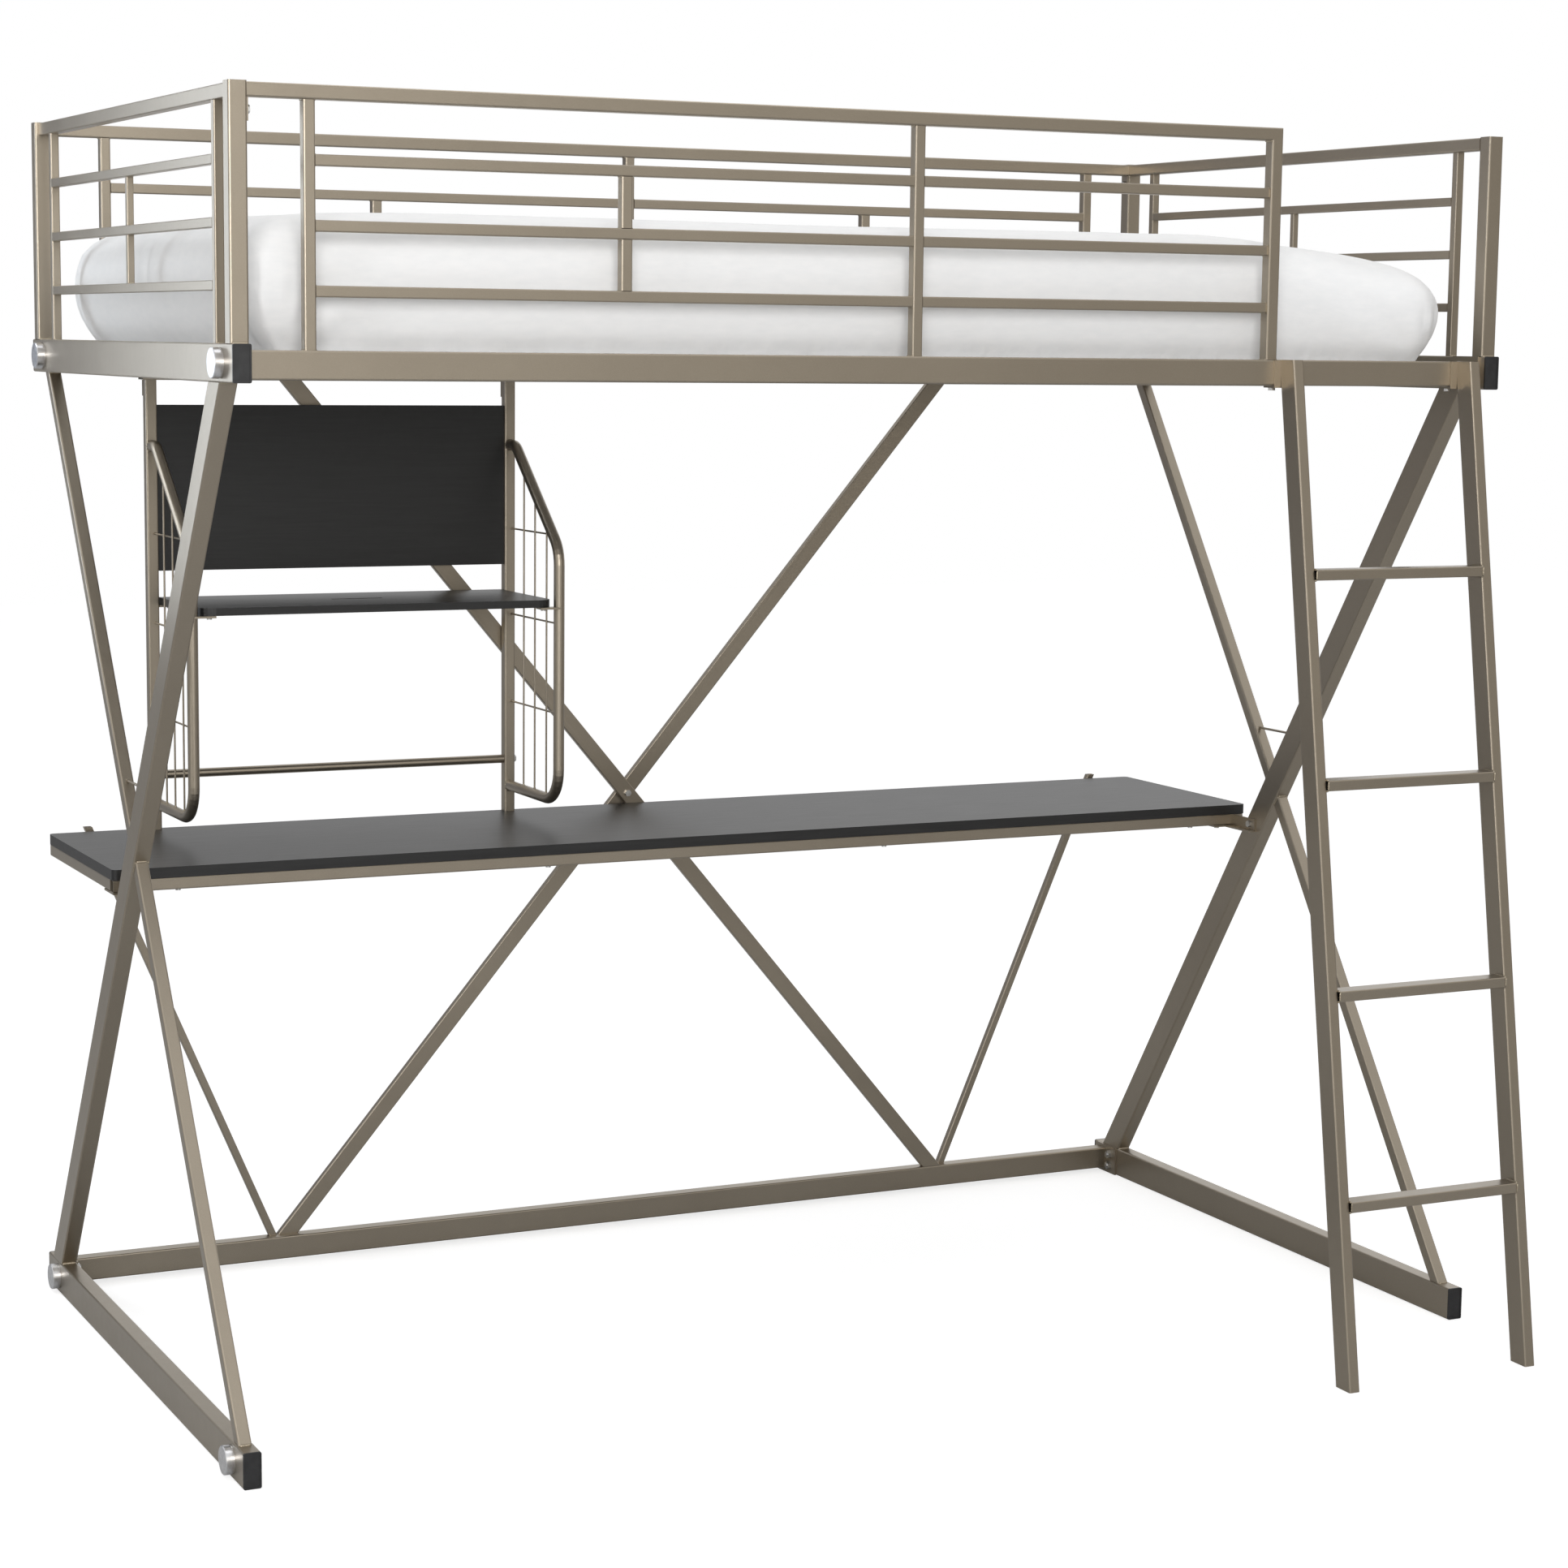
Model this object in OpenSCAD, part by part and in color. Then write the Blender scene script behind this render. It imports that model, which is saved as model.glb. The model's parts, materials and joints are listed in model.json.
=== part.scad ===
// Loft bed of welded and bolted steel tube, with X-shaped end legs, guard rails all round,
// a slanted ladder, a full-length desk and a small hutch with a shelf over the desk.
// Origin: on the floor, at the middle of the footprint. +X to the right, +Y to the back.
// Inside the file, depth runs back from the front faces of the corner posts, and every
// piece is moved by -mid_depth at the end.

/* [Bed] */
// Length over the outer faces of the two end frames
bed_length = 1980; // [1900:10:2150]
// Depth over the corner posts
bed_depth = 1060; // [1020:10:1200]
// Height of the end rails' top faces above the floor
deck_height = 1506; // [1440:1:1600]
// Height of the corner posts above the end rails
post_height = 329; // [290:1:380]

/* [End frames] */
// Width of the end rails, floor rails and long legs along the bed
rail_w = 25; // [22:1:30]
// Height of the end rails and floor rails
rail_h = 50; // [45:1:60]
// Depth of the long legs
leg_d = 45; // [38:1:55]
// Side of the square short legs
short_leg = 19; // [16:0.5:22]
// Wall of the rail and leg tubes
rail_wall = 1.5; // [1.2:0.1:2.5]
// How far the end rails and floor rails reach past the posts, caps included
rail_overhang = 10; // [6:1:30]
// Side of the square corner posts
post_size = 25; // [22:1:30]
// Distance of a long leg's centre line from the front post's face, under the end rail
leg_top_in = 78; // [60:1:150]
// Distance of a long leg's centre line from the rear post's face, on the floor rail
leg_foot_in = 45; // [35:1:120]
// Distance of the short legs' centre line from the rear post's face, under the end rail
short_top_in = 66; // [50:1:140]
// Distance of the short legs' centre line from the front post's face, on the floor rail
short_foot_in = 34; // [20:1:100]
// Diameter of the tie rods between the legs
tie_rod_d = 4; // [3:0.5:8]
// Height of the tie rods over the point where the legs cross
tie_rod_rise = 97; // [80:1:200]
// Largest corner radius of the rectangular tubes
tube_edge = 2.5; // [1:0.1:3]

/* [Guard rails] */
// Side of the square top rail and of the entry post
guard_tube = 19; // [17:0.5:22]
// Side of the square uprights of the side guards
upright_size = 16; // [14:0.5:18]
// Side of the square slats of the side guards
slat_size = 15; // [12:0.5:16]
// Side of the square uprights and slats of the end guards
end_tube = 13; // [12:0.5:18]
// Number of slats one above the other
slat_count = 3; // [2:1:4]
// Wall of the guard tubes
guard_wall = 1.2; // [1:0.1:2]
// How far the top rails stay below the posts' tops
guard_drop = 1; // [0:0.5:3]
// Width of the short spindles of the end guards
end_spindle = 10; // [8:0.5:14]
// Gap between a corner post and the first upright of a side guard
side_upright_gap = 76; // [50:1:120]
// Gap between a corner post and the first upright of an end guard
end_upright_gap = 61; // [40:1:100]
// Width of the way in between the entry post and the right front post
entry_width = 367; // [345:1:450]
// Height of the tabs that bolt the side guards to the posts
tab_h = 30; // [24:1:45]
// Thickness of the tabs, brackets and flange plates
plate_t = 3; // [2:0.5:4]

/* [Side rails] */
// Width of the side rails and the stretcher
side_w = 25; // [22:1:30]
// Height of the side rails and the stretcher
side_h = 38; // [34:1:40]
// How far the side rails' tops lie below the end rails' tops
side_drop = 8; // [4:1:10]
// How far the side rails' outer faces lie behind the posts' outer faces
side_inset = 5; // [2:1:8]

/* [Frame bolts] */
// Distance of the frame bolts from the posts' outer faces
bolt_in = 48; // [46:1:60]
// Shank diameter of the frame bolts
bolt_d = 8; // [6:0.5:9]
// Distance between the two bolts of a joint
bolt_spacing = 20; // [18:1:22]
// Material of a flange plate beyond the bolts' axis
flange_edge = 20; // [14:1:28]
// Outer diameter of the round bolt covers
cover_d = 40; // [39:0.5:44]
// How far a bolt cover stands out
cover_t = 12; // [10:0.5:16]
// Wall of a bolt cover
cover_wall = 1.5; // [1:0.1:2]

/* [Rear braces] */
// Face width of the flat brace tubes
brace_w = 26.5; // [22:0.5:34]
// Thickness of the flat brace tubes
brace_t = 12; // [10:0.5:12]
// Gap along the bed between a brace's foot and a strut's foot
brace_gap = 1; // [0.5:0.5:30]

/* [Desk] */
// Height of the desk board's top face
desk_height = 735; // [720:1:745]
// Thickness of the desk board
board_t = 16; // [12:0.5:18]
// Depth of the desk board
desk_depth = 392; // [370:1:400]
// Distance of the board's ends from the end frames' outer faces
desk_end_gap = 2; // [1:0.5:20]
// Radius of the board's corners
board_corner = 8; // [3:1:20]
// Side of the square tubes under the board
desk_tube = 19; // [16:0.5:28]
// How far the front tube lies behind the board's front edge
desk_tube_in = 5; // [3:1:15]
// How far the tubes' ends lie inside the board's ends
desk_end_in = 2; // [1:0.5:10]
// Side of the square struts that hold the desk's rear corners
strut_size = 12; // [10:0.5:12]
// Distance of a strut's foot from the end frame's outer face
strut_foot = 365; // [340:1:375]
// Distance of a strut's head from the end frame's outer face
strut_head = 68; // [60:1:120]
// How far a strut stands over the desk board
strut_over = 5; // [1:0.5:8]
// Number of screws along each long tube under the board
board_screw_count = 4; // [2:1:6]

/* [Hutch] */
// Distance of the hutch from the left end frame's outer face
hutch_in = 161; // [120:1:220]
// Width of the hutch over its posts
hutch_width = 617; // [560:1:640]
// Side of the square hutch posts
hutch_post = 18; // [16:0.5:24]
// Distance from the side rail down to the back panel
panel_drop = 54; // [40:1:80]
// Height of the back panel
panel_h = 260; // [220:1:280]
// Thickness of the back panel and the shelf
panel_t = 12; // [9:0.5:15]
// Distance from the back panel down to the shelf's top face
shelf_drop = 42; // [30:1:60]
// Depth of the shelf
shelf_depth = 238; // [220:1:245]
// Radius of the shelf's front corners
shelf_corner = 25; // [10:1:30]
// Gap between the shelf and the hutch posts
shelf_gap = 2; // [1:0.5:4]
// Length of the slot in the shelf
slot_len = 84; // [60:1:120]
// Width of the slot in the shelf
slot_w = 8; // [6:0.5:12]
// Diameter of the side loops' tube
loop_d = 17.5; // [15:0.5:18]
// Wall of the side loops' tube
loop_wall = 1.2; // [1:0.1:2]
// Bend radius of the side loops' lower corners
loop_bend = 52; // [40:1:60]
// How far the side loops stand out in front of the hutch posts, to the tube's centre line
loop_reach = 217; // [205:1:230]
// Height of the side loops' front bend over the shelf
loop_rise = 79; // [60:1:100]
// Height of the side loops' lower run over the desk board
loop_lift = 43; // [20:1:60]
// Diameter of the wires in the side loops
wire_d = 3; // [2.5:0.5:4]
// Diameter of the crossbar between the hutch posts
crossbar_d = 14; // [11:0.5:15]
// Height of the crossbar's centre line over the desk board
crossbar_lift = 87; // [60:1:140]

/* [Ladder] */
// Width over the ladder's two rails
ladder_width = 336.5; // [320:0.5:345]
// Gap between the guard's entry post and the ladder
ladder_gap = 6; // [3:1:9]
// Width of a ladder rail
ladder_rail_w = 18; // [16:0.5:22]
// Depth of a ladder rail
ladder_rail_d = 36; // [35:0.5:40]
// Wall of the ladder tubes
ladder_wall = 1.5; // [1.2:0.1:2]
// How far the ladder's top stands in front of the posts
ladder_top_front = 28; // [28:0.5:30]
// How far the ladder's foot stands in front of its top
ladder_run = 229; // [220:1:260]
// Number of rungs
rung_count = 4; // [3:1:5]
// Distance from one rung to the next
rung_pitch = 306; // [260:1:310]
// Distance from the ladder's top down to the top face of the first rung
rung_top_drop = 304.5; // [260:0.5:320]
// Height of a rung
rung_h = 16; // [14:0.5:20]
// Depth of a rung
rung_d = 30; // [26:0.5:32]
// How far a rung's front stands out in front of the ladder rails
rung_out = 6; // [0:0.5:8]

/* [Bed base] */
// Thickness of the angle ledges that carry the slats
ledge_t = 2; // [2:0.5:3]
// Width of the angle ledges
ledge_w = 20; // [16:1:25]
// Number of bed slats
bed_slat_count = 13; // [9:1:15]
// Width of a bed slat
bed_slat_w = 25; // [20:1:35]
// Height of a bed slat
bed_slat_h = 14; // [12:0.5:14]
// Height of the centre beam under the slats
beam_h = 12; // [10:0.5:14]
// Thickness of the mattress
mattress_t = 205; // [150:1:240]
// Gap between the mattress and the end rails
mattress_end_gap = 12; // [6:1:30]
// Gap between the mattress and the side rails
mattress_side_gap = 5; // [3:1:15]
// Radius of the mattress's corners, seen from above
mattress_corner = 70; // [40:1:110]

/* [Hidden] */

$fn = 32;
steel = [0.62, 0.57, 0.49];
black = [0.11, 0.11, 0.12];
laminate = [0.13, 0.13, 0.14];
bright = [0.8, 0.81, 0.82];
sheet = [0.95, 0.95, 0.96];

// small fits and cuts
past = 1;              // how far a cutting shape passes the face that it cuts
far = 4000;            // longer than any piece
weld_gap = 0.15;       // between pieces of one node that are welded to each other
soft_gap = 0.3;        // between the mattress and what carries it
hole_play = 0.4;       // of a bolt hole over the bolt
corner_steps = 3;      // flats round a tube's corner

// bed frame
half_l = bed_length / 2;
inner_x = half_l - rail_w;
post_x = half_l - post_size;
mid_y = bed_depth / 2;
deck_under = deck_height - rail_h;
post_top = deck_height + post_height;
guard_top = post_top - guard_drop;
guard_under = guard_top - guard_tube;
side_top = deck_height - side_drop;
side_under = side_top - side_h;
side_back = side_inset + side_w;
rear_face = bed_depth - side_back;
flange_back = bolt_in + flange_edge;
cap_t = 3;
cap_spigot = 15;
cap_rim = 2.5;
cap_recess = 0.8;

// legs: where the centre lines of the long leg and of the two short legs cross
leg_rise = deck_under - rail_h;
leg_run = bed_depth - leg_top_in - leg_foot_in;
short_run = bed_depth - short_top_in - short_foot_in;
leg_angle = atan2(leg_run, leg_rise);
short_angle = atan2(short_run, leg_rise);
leg_len = 2 * norm([bed_depth, leg_rise]);
cross_drop = leg_rise * (bed_depth - leg_top_in - short_top_in) / (leg_run + short_run);
cross_z = deck_under - cross_drop;
cross_y = leg_top_in + cross_drop * tan(leg_angle);

// frame bolts and the smaller bolts
hex_af = 1.6 * bolt_d;
bolt_head = 0.65 * bolt_d;
bolt_nut = 0.8 * bolt_d;
bolt_tail = 2;
cover_foot = 2;
cover_step = 1;
m6 = 6;
m6_af = 10;
m6_head = 4;
screw_d = 4;
screw_head_d = 8;
screw_head = 2.5;

// guard rails
guard_back = post_size;
guard_front = guard_back - guard_tube;
upright_in = side_upright_gap;
entry_x = post_x - entry_width;
entry_in = entry_x - guard_tube;
upright_x = post_x - upright_in - upright_size;
end_upright_y = post_size + end_upright_gap;
end_tube_mid = post_x + guard_tube - end_tube / 2;
end_tube_x = [end_tube_mid - end_tube / 2, end_tube_mid + end_tube / 2];
tab_bolt_z = guard_under - tab_h / 2;

// rear stretcher, level with the middle of the floor rails, and what stands on it
stretcher_z = (rail_h - side_h) / 2;
stretcher_top = stretcher_z + side_h;
strut_top = desk_height + strut_over;
strut_angle = atan2(strut_foot - strut_head, strut_top - stretcher_top);
strut_half = strut_size / 2 / cos(strut_angle);
brace_rise = side_under - stretcher_top;
brace_half = brace_w / 2 / cos(atan2(2 * (half_l - strut_foot), brace_rise));
brace_spread = 2 * (half_l - strut_foot - strut_half - brace_gap - brace_half);
brace_angle = atan2(brace_spread, brace_rise);
brace_z = stretcher_top + brace_rise / 2;
brace_front = rear_face + 1;
strut_y = brace_front + brace_t;

// desk
board_under = desk_height - board_t;
tube_under = board_under - desk_tube;
desk_back = rear_face;
desk_front = desk_back - desk_depth;
board_x = half_l - desk_end_gap;
desk_rail_x = board_x - desk_end_in;
desk_rail_y = desk_front + desk_tube_in;
board_screw_in = 100;
strut_bolt_z = tube_under + desk_tube / 2;
strut_bolt_x = half_l - strut_head - (strut_top - strut_bolt_z) * tan(strut_angle);
bracket_bolt_z = tube_under + desk_tube / 2;
bracket_bolt_y = leg_top_in + (deck_under - bracket_bolt_z) * tan(leg_angle) + 10;
bracket_y = bracket_bolt_y - 15;
bracket_d = 52;
bracket_foot = 14;
bracket_reach = 35;
bracket_screw_x = 10;

// hutch
hutch_left = -half_l + hutch_in;
hutch_right = hutch_left + hutch_width;
hutch_front = rear_face - hutch_post;
hutch_mid_y = rear_face - hutch_post / 2;
ledge_z = side_under + 2;
panel_top = side_under - panel_drop;
panel_under = panel_top - panel_h;
panel_in = 5;
shelf_top = panel_under - shelf_drop;
shelf_under = shelf_top - panel_t;
shelf_back = rear_face - 4;
shelf_front = shelf_back - shelf_depth;
post_axes = [hutch_left + hutch_post / 2, hutch_right - hutch_post / 2];
loop_front = hutch_front - loop_reach;
loop_low = desk_height + loop_lift;
loop_drop = 64;
loop_high = panel_top - loop_drop;
loop_stub = 25;
loop_slope_end = shelf_top + loop_rise;
loop_upper_bend = 30;
bend_step = 9;
tube_sides = 24;
wire_rows = [101, -40, -185];
wire_columns = [63, 112, 163];
crossbar_z = desk_height + crossbar_lift;
crossbar_bore = 20;
hanger_h = 40;
hanger_bolt = 12;
tab_w = 26;
tab_d = 22;
tab_screw_in = 8;

// ladder
ladder_x = entry_x + ladder_gap;
ladder_right = ladder_x + ladder_width;
ladder_angle = atan2(ladder_run, side_top);
ladder_back = side_inset - plate_t;
rung_wall = 1.5;
bracket_side = 12;
function ladder_face(z) = -ladder_top_front - (side_top - z) * tan(ladder_angle);

// bed base
slat_z = ledge_z + ledge_t;
ledge_clear = 3;
ledge_end = inner_x - plate_t - bolt_nut - bolt_tail - ledge_clear;
slat_top = slat_z + bed_slat_h;
beam_w = 25;
slat_margin = 70;
mattress_z = slat_top + soft_gap;

// the footprint runs from the ladder's feet to the rear end caps
mid_depth = (bed_depth + rail_overhang + ladder_face(0)) / 2;

// ---------- shapes ----------

// Points round one corner, from angle a
function corner(x, y, r, a, steps) =
  [for (i = [0 : steps]) [x + r * cos(a + 90 * i / steps), y + r * sin(a + 90 * i / steps)]];

// Outline of a rectangle with rounded corners, centred
function rounded(w, h, r, steps = corner_steps) = concat(
  corner(w / 2 - r, h / 2 - r, r, 0, steps),
  corner(r - w / 2, h / 2 - r, r, 90, steps),
  corner(r - w / 2, r - h / 2, r, 180, steps),
  corner(w / 2 - r, r - h / 2, r, 270, steps));

// Corner radius that suits a tube
function edge_r(w, h) = min(tube_edge, min(w, h) / 8);

// Rectangular tube along +Z; base and lid are the thickness of closed ends, 0 for open ones
module tube(len, w, h, wall, base = 0, lid = 0) {
  low = base > 0 ? base : -past;
  high = lid > 0 ? len - lid : len + past;
  difference() {
    linear_extrude(len) polygon(rounded(w, h, edge_r(w, h)));
    translate([0, 0, low]) linear_extrude(high - low) square([w - 2 * wall, h - 2 * wall], center = true);
  }
}

// Tubes that fill the box x, y, z (each a pair of limits) and run along one axis
module tube_x(x, y, z, wall) {
  translate([x[0], (y[0] + y[1]) / 2, (z[0] + z[1]) / 2])
    rotate([90, 0, 90]) tube(x[1] - x[0], y[1] - y[0], z[1] - z[0], wall);
}

module tube_y(x, y, z, wall) {
  translate([(x[0] + x[1]) / 2, y[1], (z[0] + z[1]) / 2])
    rotate([90, 0, 0]) tube(y[1] - y[0], x[1] - x[0], z[1] - z[0], wall);
}

module tube_z(x, y, z, wall, lid = 0) {
  translate([(x[0] + x[1]) / 2, (y[0] + y[1]) / 2, z[0]])
    tube(z[1] - z[0], x[1] - x[0], y[1] - y[0], wall, 0, lid);
}

// Plain block that fills the box x, y, z
module block(x, y, z) {
  translate([x[0], y[0], z[0]]) cube([x[1] - x[0], y[1] - y[0], z[1] - z[0]]);
}

// Bolts and screws: the head lies below z = 0 and the shank runs up
module bolt(d, af, head, len) {
  translate([0, 0, -head]) cylinder(h = head, d = af / cos(30), $fn = 6);
  cylinder(h = len, d = d);
}

module m6_bolt(len) {
  bolt(m6, m6_af, m6_head, len);
}

module screw(len) {
  translate([0, 0, -screw_head]) cylinder(h = screw_head, d = screw_head_d);
  cylinder(h = len, d = screw_d);
}

module drill(d, len) {
  translate([0, 0, -past]) cylinder(h = len + past, d = d + hole_play);
}

module moved() {
  translate([0, -mid_depth, 0]) children();
}

module left_and_right() {
  children();
  mirror([1, 0, 0]) children();
}

module front_and_rear() {
  children();
  translate([0, bed_depth, 0]) mirror([0, 1, 0]) children();
}

// ---------- places of the fasteners ----------

// One joint's two frame bolts on the right end frame, heads outside; zc is the rail's middle
module at_frame_bolts(y, zc) {
  for (s = [-1, 1]) translate([half_l, y, zc + s * bolt_spacing / 2]) rotate([0, -90, 0]) children();
}

// All frame bolts of the right end frame
module at_right_frame_bolts() {
  at_frame_bolts(bolt_in, deck_under + rail_h / 2) children();
  at_frame_bolts(bed_depth - bolt_in, deck_under + rail_h / 2) children();
  at_frame_bolts(bed_depth - bolt_in, rail_h / 2) children();
}

// Side guards to posts, in the right half: rear right
module at_rear_guard_bolt() {
  translate([post_x - plate_t, bed_depth - guard_back + guard_tube / 2, tab_bolt_z])
    rotate([0, 90, 0]) children();
}

// Side guards to posts, in the right half before mirroring: front
module at_front_guard_bolt() {
  translate([post_x - plate_t, guard_front + guard_tube / 2, tab_bolt_z]) rotate([0, 90, 0]) children();
}

module at_brace_bolt() {
  translate([0, brace_front, brace_z]) rotate([-90, 0, 0]) children();
}

module at_strut_bolt() {
  translate([strut_bolt_x, strut_y + strut_size, strut_bolt_z]) rotate([90, 0, 0]) children();
}

// Desk bracket: one bolt out into the leg, one screw up into the desk's front rail
module at_bracket_bolt() {
  translate([inner_x - plate_t, bracket_bolt_y, bracket_bolt_z]) rotate([0, 90, 0]) children();
}

module at_bracket_screw() {
  x = inner_x - bracket_reach + bracket_screw_x;
  translate([x, desk_rail_y + desk_tube / 2, tube_under - plate_t]) children();
}

// Hutch hangers: one bolt into the post, one bolt up into the side rail
module at_hanger_post_bolts() {
  for (x = post_axes)
    translate([x, rear_face + plate_t, side_under - hanger_h + hanger_bolt]) rotate([90, 0, 0]) children();
}

module at_hanger_rail_bolts() {
  for (x = post_axes)
    translate([x, rear_face + plate_t + hutch_post / 2, side_under - plate_t]) children();
}

// Crossbar bolts, in through the outer faces of the hutch posts
module at_crossbar_bolts() {
  translate([hutch_left, hutch_mid_y, crossbar_z]) rotate([0, 90, 0]) children();
  translate([hutch_right, hutch_mid_y, crossbar_z]) rotate([0, -90, 0]) children();
}

module at_ladder_bolts() {
  for (x = [ladder_x, ladder_right - ladder_rail_w])
    translate([x - bracket_side / 2, side_inset + side_w / 2, side_under - plate_t]) children();
}

// Shelf screws: x beside each post, y at the front loops and at the posts
module at_shelf_screws() {
  in = hutch_post + tab_w - tab_screw_in;
  for (x = [hutch_left + in, hutch_right - in])
    for (y = [loop_front, hutch_mid_y])
      translate([x, y, shelf_under - plate_t]) children();
}

// Board screws: along the front and rear tubes
module at_board_screws(y) {
  start = board_screw_in - desk_rail_x;
  pitch = -2 * start / (board_screw_count - 1);
  for (i = [0 : board_screw_count - 1])
    translate([start + i * pitch, y, tube_under]) children();
}

// ---------- end frames, modelled at the right ----------

module end_rail(z) {
  y = [cap_t - rail_overhang, bed_depth + rail_overhang - cap_t];
  difference() {
    tube_y([inner_x, half_l], y, [z, z + rail_h], rail_wall);
    at_right_frame_bolts() drill(bolt_d, rail_w + past);
  }
}

module posts() {
  difference() {
    front_and_rear()
      tube_z([post_x, half_l], [0, post_size], [deck_height, post_top], rail_wall, rail_wall);
    at_rear_guard_bolt() drill(m6, plate_t + rail_wall + past);
  }
}

module left_post_pair() {
  difference() {
    posts();
    at_front_guard_bolt() drill(m6, plate_t + rail_wall + past);
  }
}

module top_rail() {
  tube_y([post_x, post_x + guard_tube], [post_size, bed_depth - post_size],
         [guard_under, guard_top], guard_wall);
}

module end_uprights() {
  front_and_rear()
    tube_z(end_tube_x, [end_upright_y, end_upright_y + end_tube], [deck_height, guard_under], guard_wall);
}

// Height of slat i's under face, when slat_count slats share the height from low to high evenly
function slat_gap(size, low, high) = (high - low - slat_count * size) / (slat_count + 1);
function slat_under(i, size, low, high) = low + i * slat_gap(size, low, high) + (i - 1) * size;

module end_slats() {
  y = end_upright_y + end_tube;
  for (i = [1 : slat_count]) {
    z = slat_under(i, end_tube, deck_height, guard_under);
    tube_y(end_tube_x, [y, bed_depth - y], [z, z + end_tube], guard_wall);
  }
  for (i = [1 : slat_count - 1]) {
    low = slat_under(i, end_tube, deck_height, guard_under) + end_tube + weld_gap;
    high = slat_under(i + 1, end_tube, deck_height, guard_under) - weld_gap;
    tube_z([end_tube_mid - end_spindle / 2, end_tube_mid + end_spindle / 2],
           [mid_y - end_spindle / 2, mid_y + end_spindle / 2], [low, high], guard_wall);
  }
}

// The point where the legs cross, as the origin of what is drawn inside; a leg at a positive
// angle leans from front top to rear foot
module at_crossing(angle) {
  translate([half_l - rail_w / 2, cross_y, cross_z]) rotate([angle, 0, 0]) children();
}

// Full leg of width w and depth d, cut level at the rails
module leg(angle, w, d) {
  intersection() {
    at_crossing(angle) translate([0, 0, -leg_len / 2]) tube(leg_len, w, d, rail_wall);
    block([0, far], [-far, far], [rail_h, deck_under]);
  }
}

// What a leg of depth d cuts away from the pieces that meet it
module leg_cut(angle, d) {
  at_crossing(angle) cube([2 * rail_w, d, leg_len], center = true);
}

module long_leg() {
  difference() {
    leg(leg_angle, rail_w, leg_d);
    at_bracket_bolt() drill(m6, plate_t + rail_wall + past);
  }
}

module short_legs() {
  difference() {
    leg(-short_angle, short_leg, short_leg);
    leg_cut(leg_angle, leg_d);
  }
}

module tie_rod() {
  front = tie_rod_rise * tan(leg_angle);
  back = tie_rod_rise * tan(short_angle);
  difference() {
    translate([half_l - rail_w / 2, cross_y + back, cross_z + tie_rod_rise])
      rotate([90, 0, 0]) cylinder(h = front + back, d = tie_rod_d);
    leg_cut(leg_angle, leg_d);
    leg_cut(-short_angle, short_leg);
  }
}

// Plug in a rail's front end: a rimmed plate and a spigot
module end_cap(z) {
  translate([half_l - rail_w / 2, -rail_overhang, z + rail_h / 2]) rotate([-90, 0, 0]) {
    difference() {
      linear_extrude(cap_t) polygon(rounded(rail_w, rail_h, edge_r(rail_w, rail_h)));
      translate([0, 0, cap_recess - past]) linear_extrude(past)
        square([rail_w - 2 * cap_rim, rail_h - 2 * cap_rim], center = true);
    }
    translate([0, 0, cap_t]) linear_extrude(cap_spigot)
      square([rail_w - 2 * rail_wall - hole_play, rail_h - 2 * rail_wall - hole_play], center = true);
  }
}

module bolt_cover() {
  r = cover_d / 2;
  rotate([0, 90, 0]) rotate_extrude($fn = 64) polygon([
    [r - cover_step - cover_wall, 0], [r - cover_step, 0], [r - cover_step, cover_foot], [r, cover_foot],
    [r, cover_t - cover_step], [r - cover_step, cover_t], [0, cover_t],
    [0, cover_t - cover_wall], [r - cover_step - cover_wall, cover_t - cover_wall]]);
}

// ---------- side rails ----------

module side_rail_tube(z) {
  tube_x([plate_t - inner_x, inner_x - plate_t], [side_inset, side_back], [z, z + side_h], rail_wall);
}

module flange_plate(z) {
  block([inner_x - plate_t, inner_x], [side_inset, flange_back], [z, z + rail_h]);
}

// ---------- side guards ----------

// Wedge that cuts a mitre at the guard's top right corner; side is 1 for the rail's cut
module mitre(side) {
  size = 2 * guard_tube;
  translate([entry_x, guard_front - past, guard_top]) rotate([0, 45, 0])
    translate([side > 0 ? 0 : -size, 0, -size]) cube([size, guard_tube + 2 * past, size]);
}

module guard_slats(spans, y) {
  for (i = [1 : slat_count], span = spans) {
    z = slat_under(i, slat_size, side_top, guard_under);
    tube_x(span, y, [z, z + slat_size], guard_wall);
  }
}

module guard_spindles(x, y) {
  for (i = [1 : slat_count - 1]) {
    low = slat_under(i, slat_size, side_top, guard_under) + slat_size + weld_gap;
    high = slat_under(i + 1, slat_size, side_top, guard_under) - weld_gap;
    tube_z([x - upright_size / 2, x + upright_size / 2], y, [low, high], guard_wall);
  }
}

// Side guard uprights: x is the middle of each
module guard_uprights(places, y) {
  for (x = places)
    tube_z([x - upright_size / 2, x + upright_size / 2], y, [side_top, guard_under], guard_wall);
}

outer_upright = upright_x + upright_size / 2;
bay_left = [upright_size - (upright_x + upright_size), -upright_size / 2];
bay_right = [upright_size / 2, upright_x];
bay_entry = [upright_size / 2, entry_in];
bay_mid = (bay_right[0] + bay_right[1]) / 2;
front_upright_y = [guard_back - upright_size, guard_back];
front_slat_y = [guard_back - slat_size, guard_back];
rear_guard = bed_depth - guard_back;

// ---------- braces and struts ----------

// Flat tube that leans in the plane of the rear rails; s = -1 has its top at the left
module brace(s, y) {
  difference() {
    intersection() {
      translate([0, y + brace_t / 2, brace_z]) rotate([0, s * brace_angle, 0])
        translate([0, 0, -brace_rise]) tube(2 * brace_rise, brace_w, brace_t, guard_wall);
      block([-far, far], [0, far], [stretcher_top, side_under]);
    }
    at_brace_bolt() drill(m6, 2 * brace_t + past);
  }
}

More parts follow.
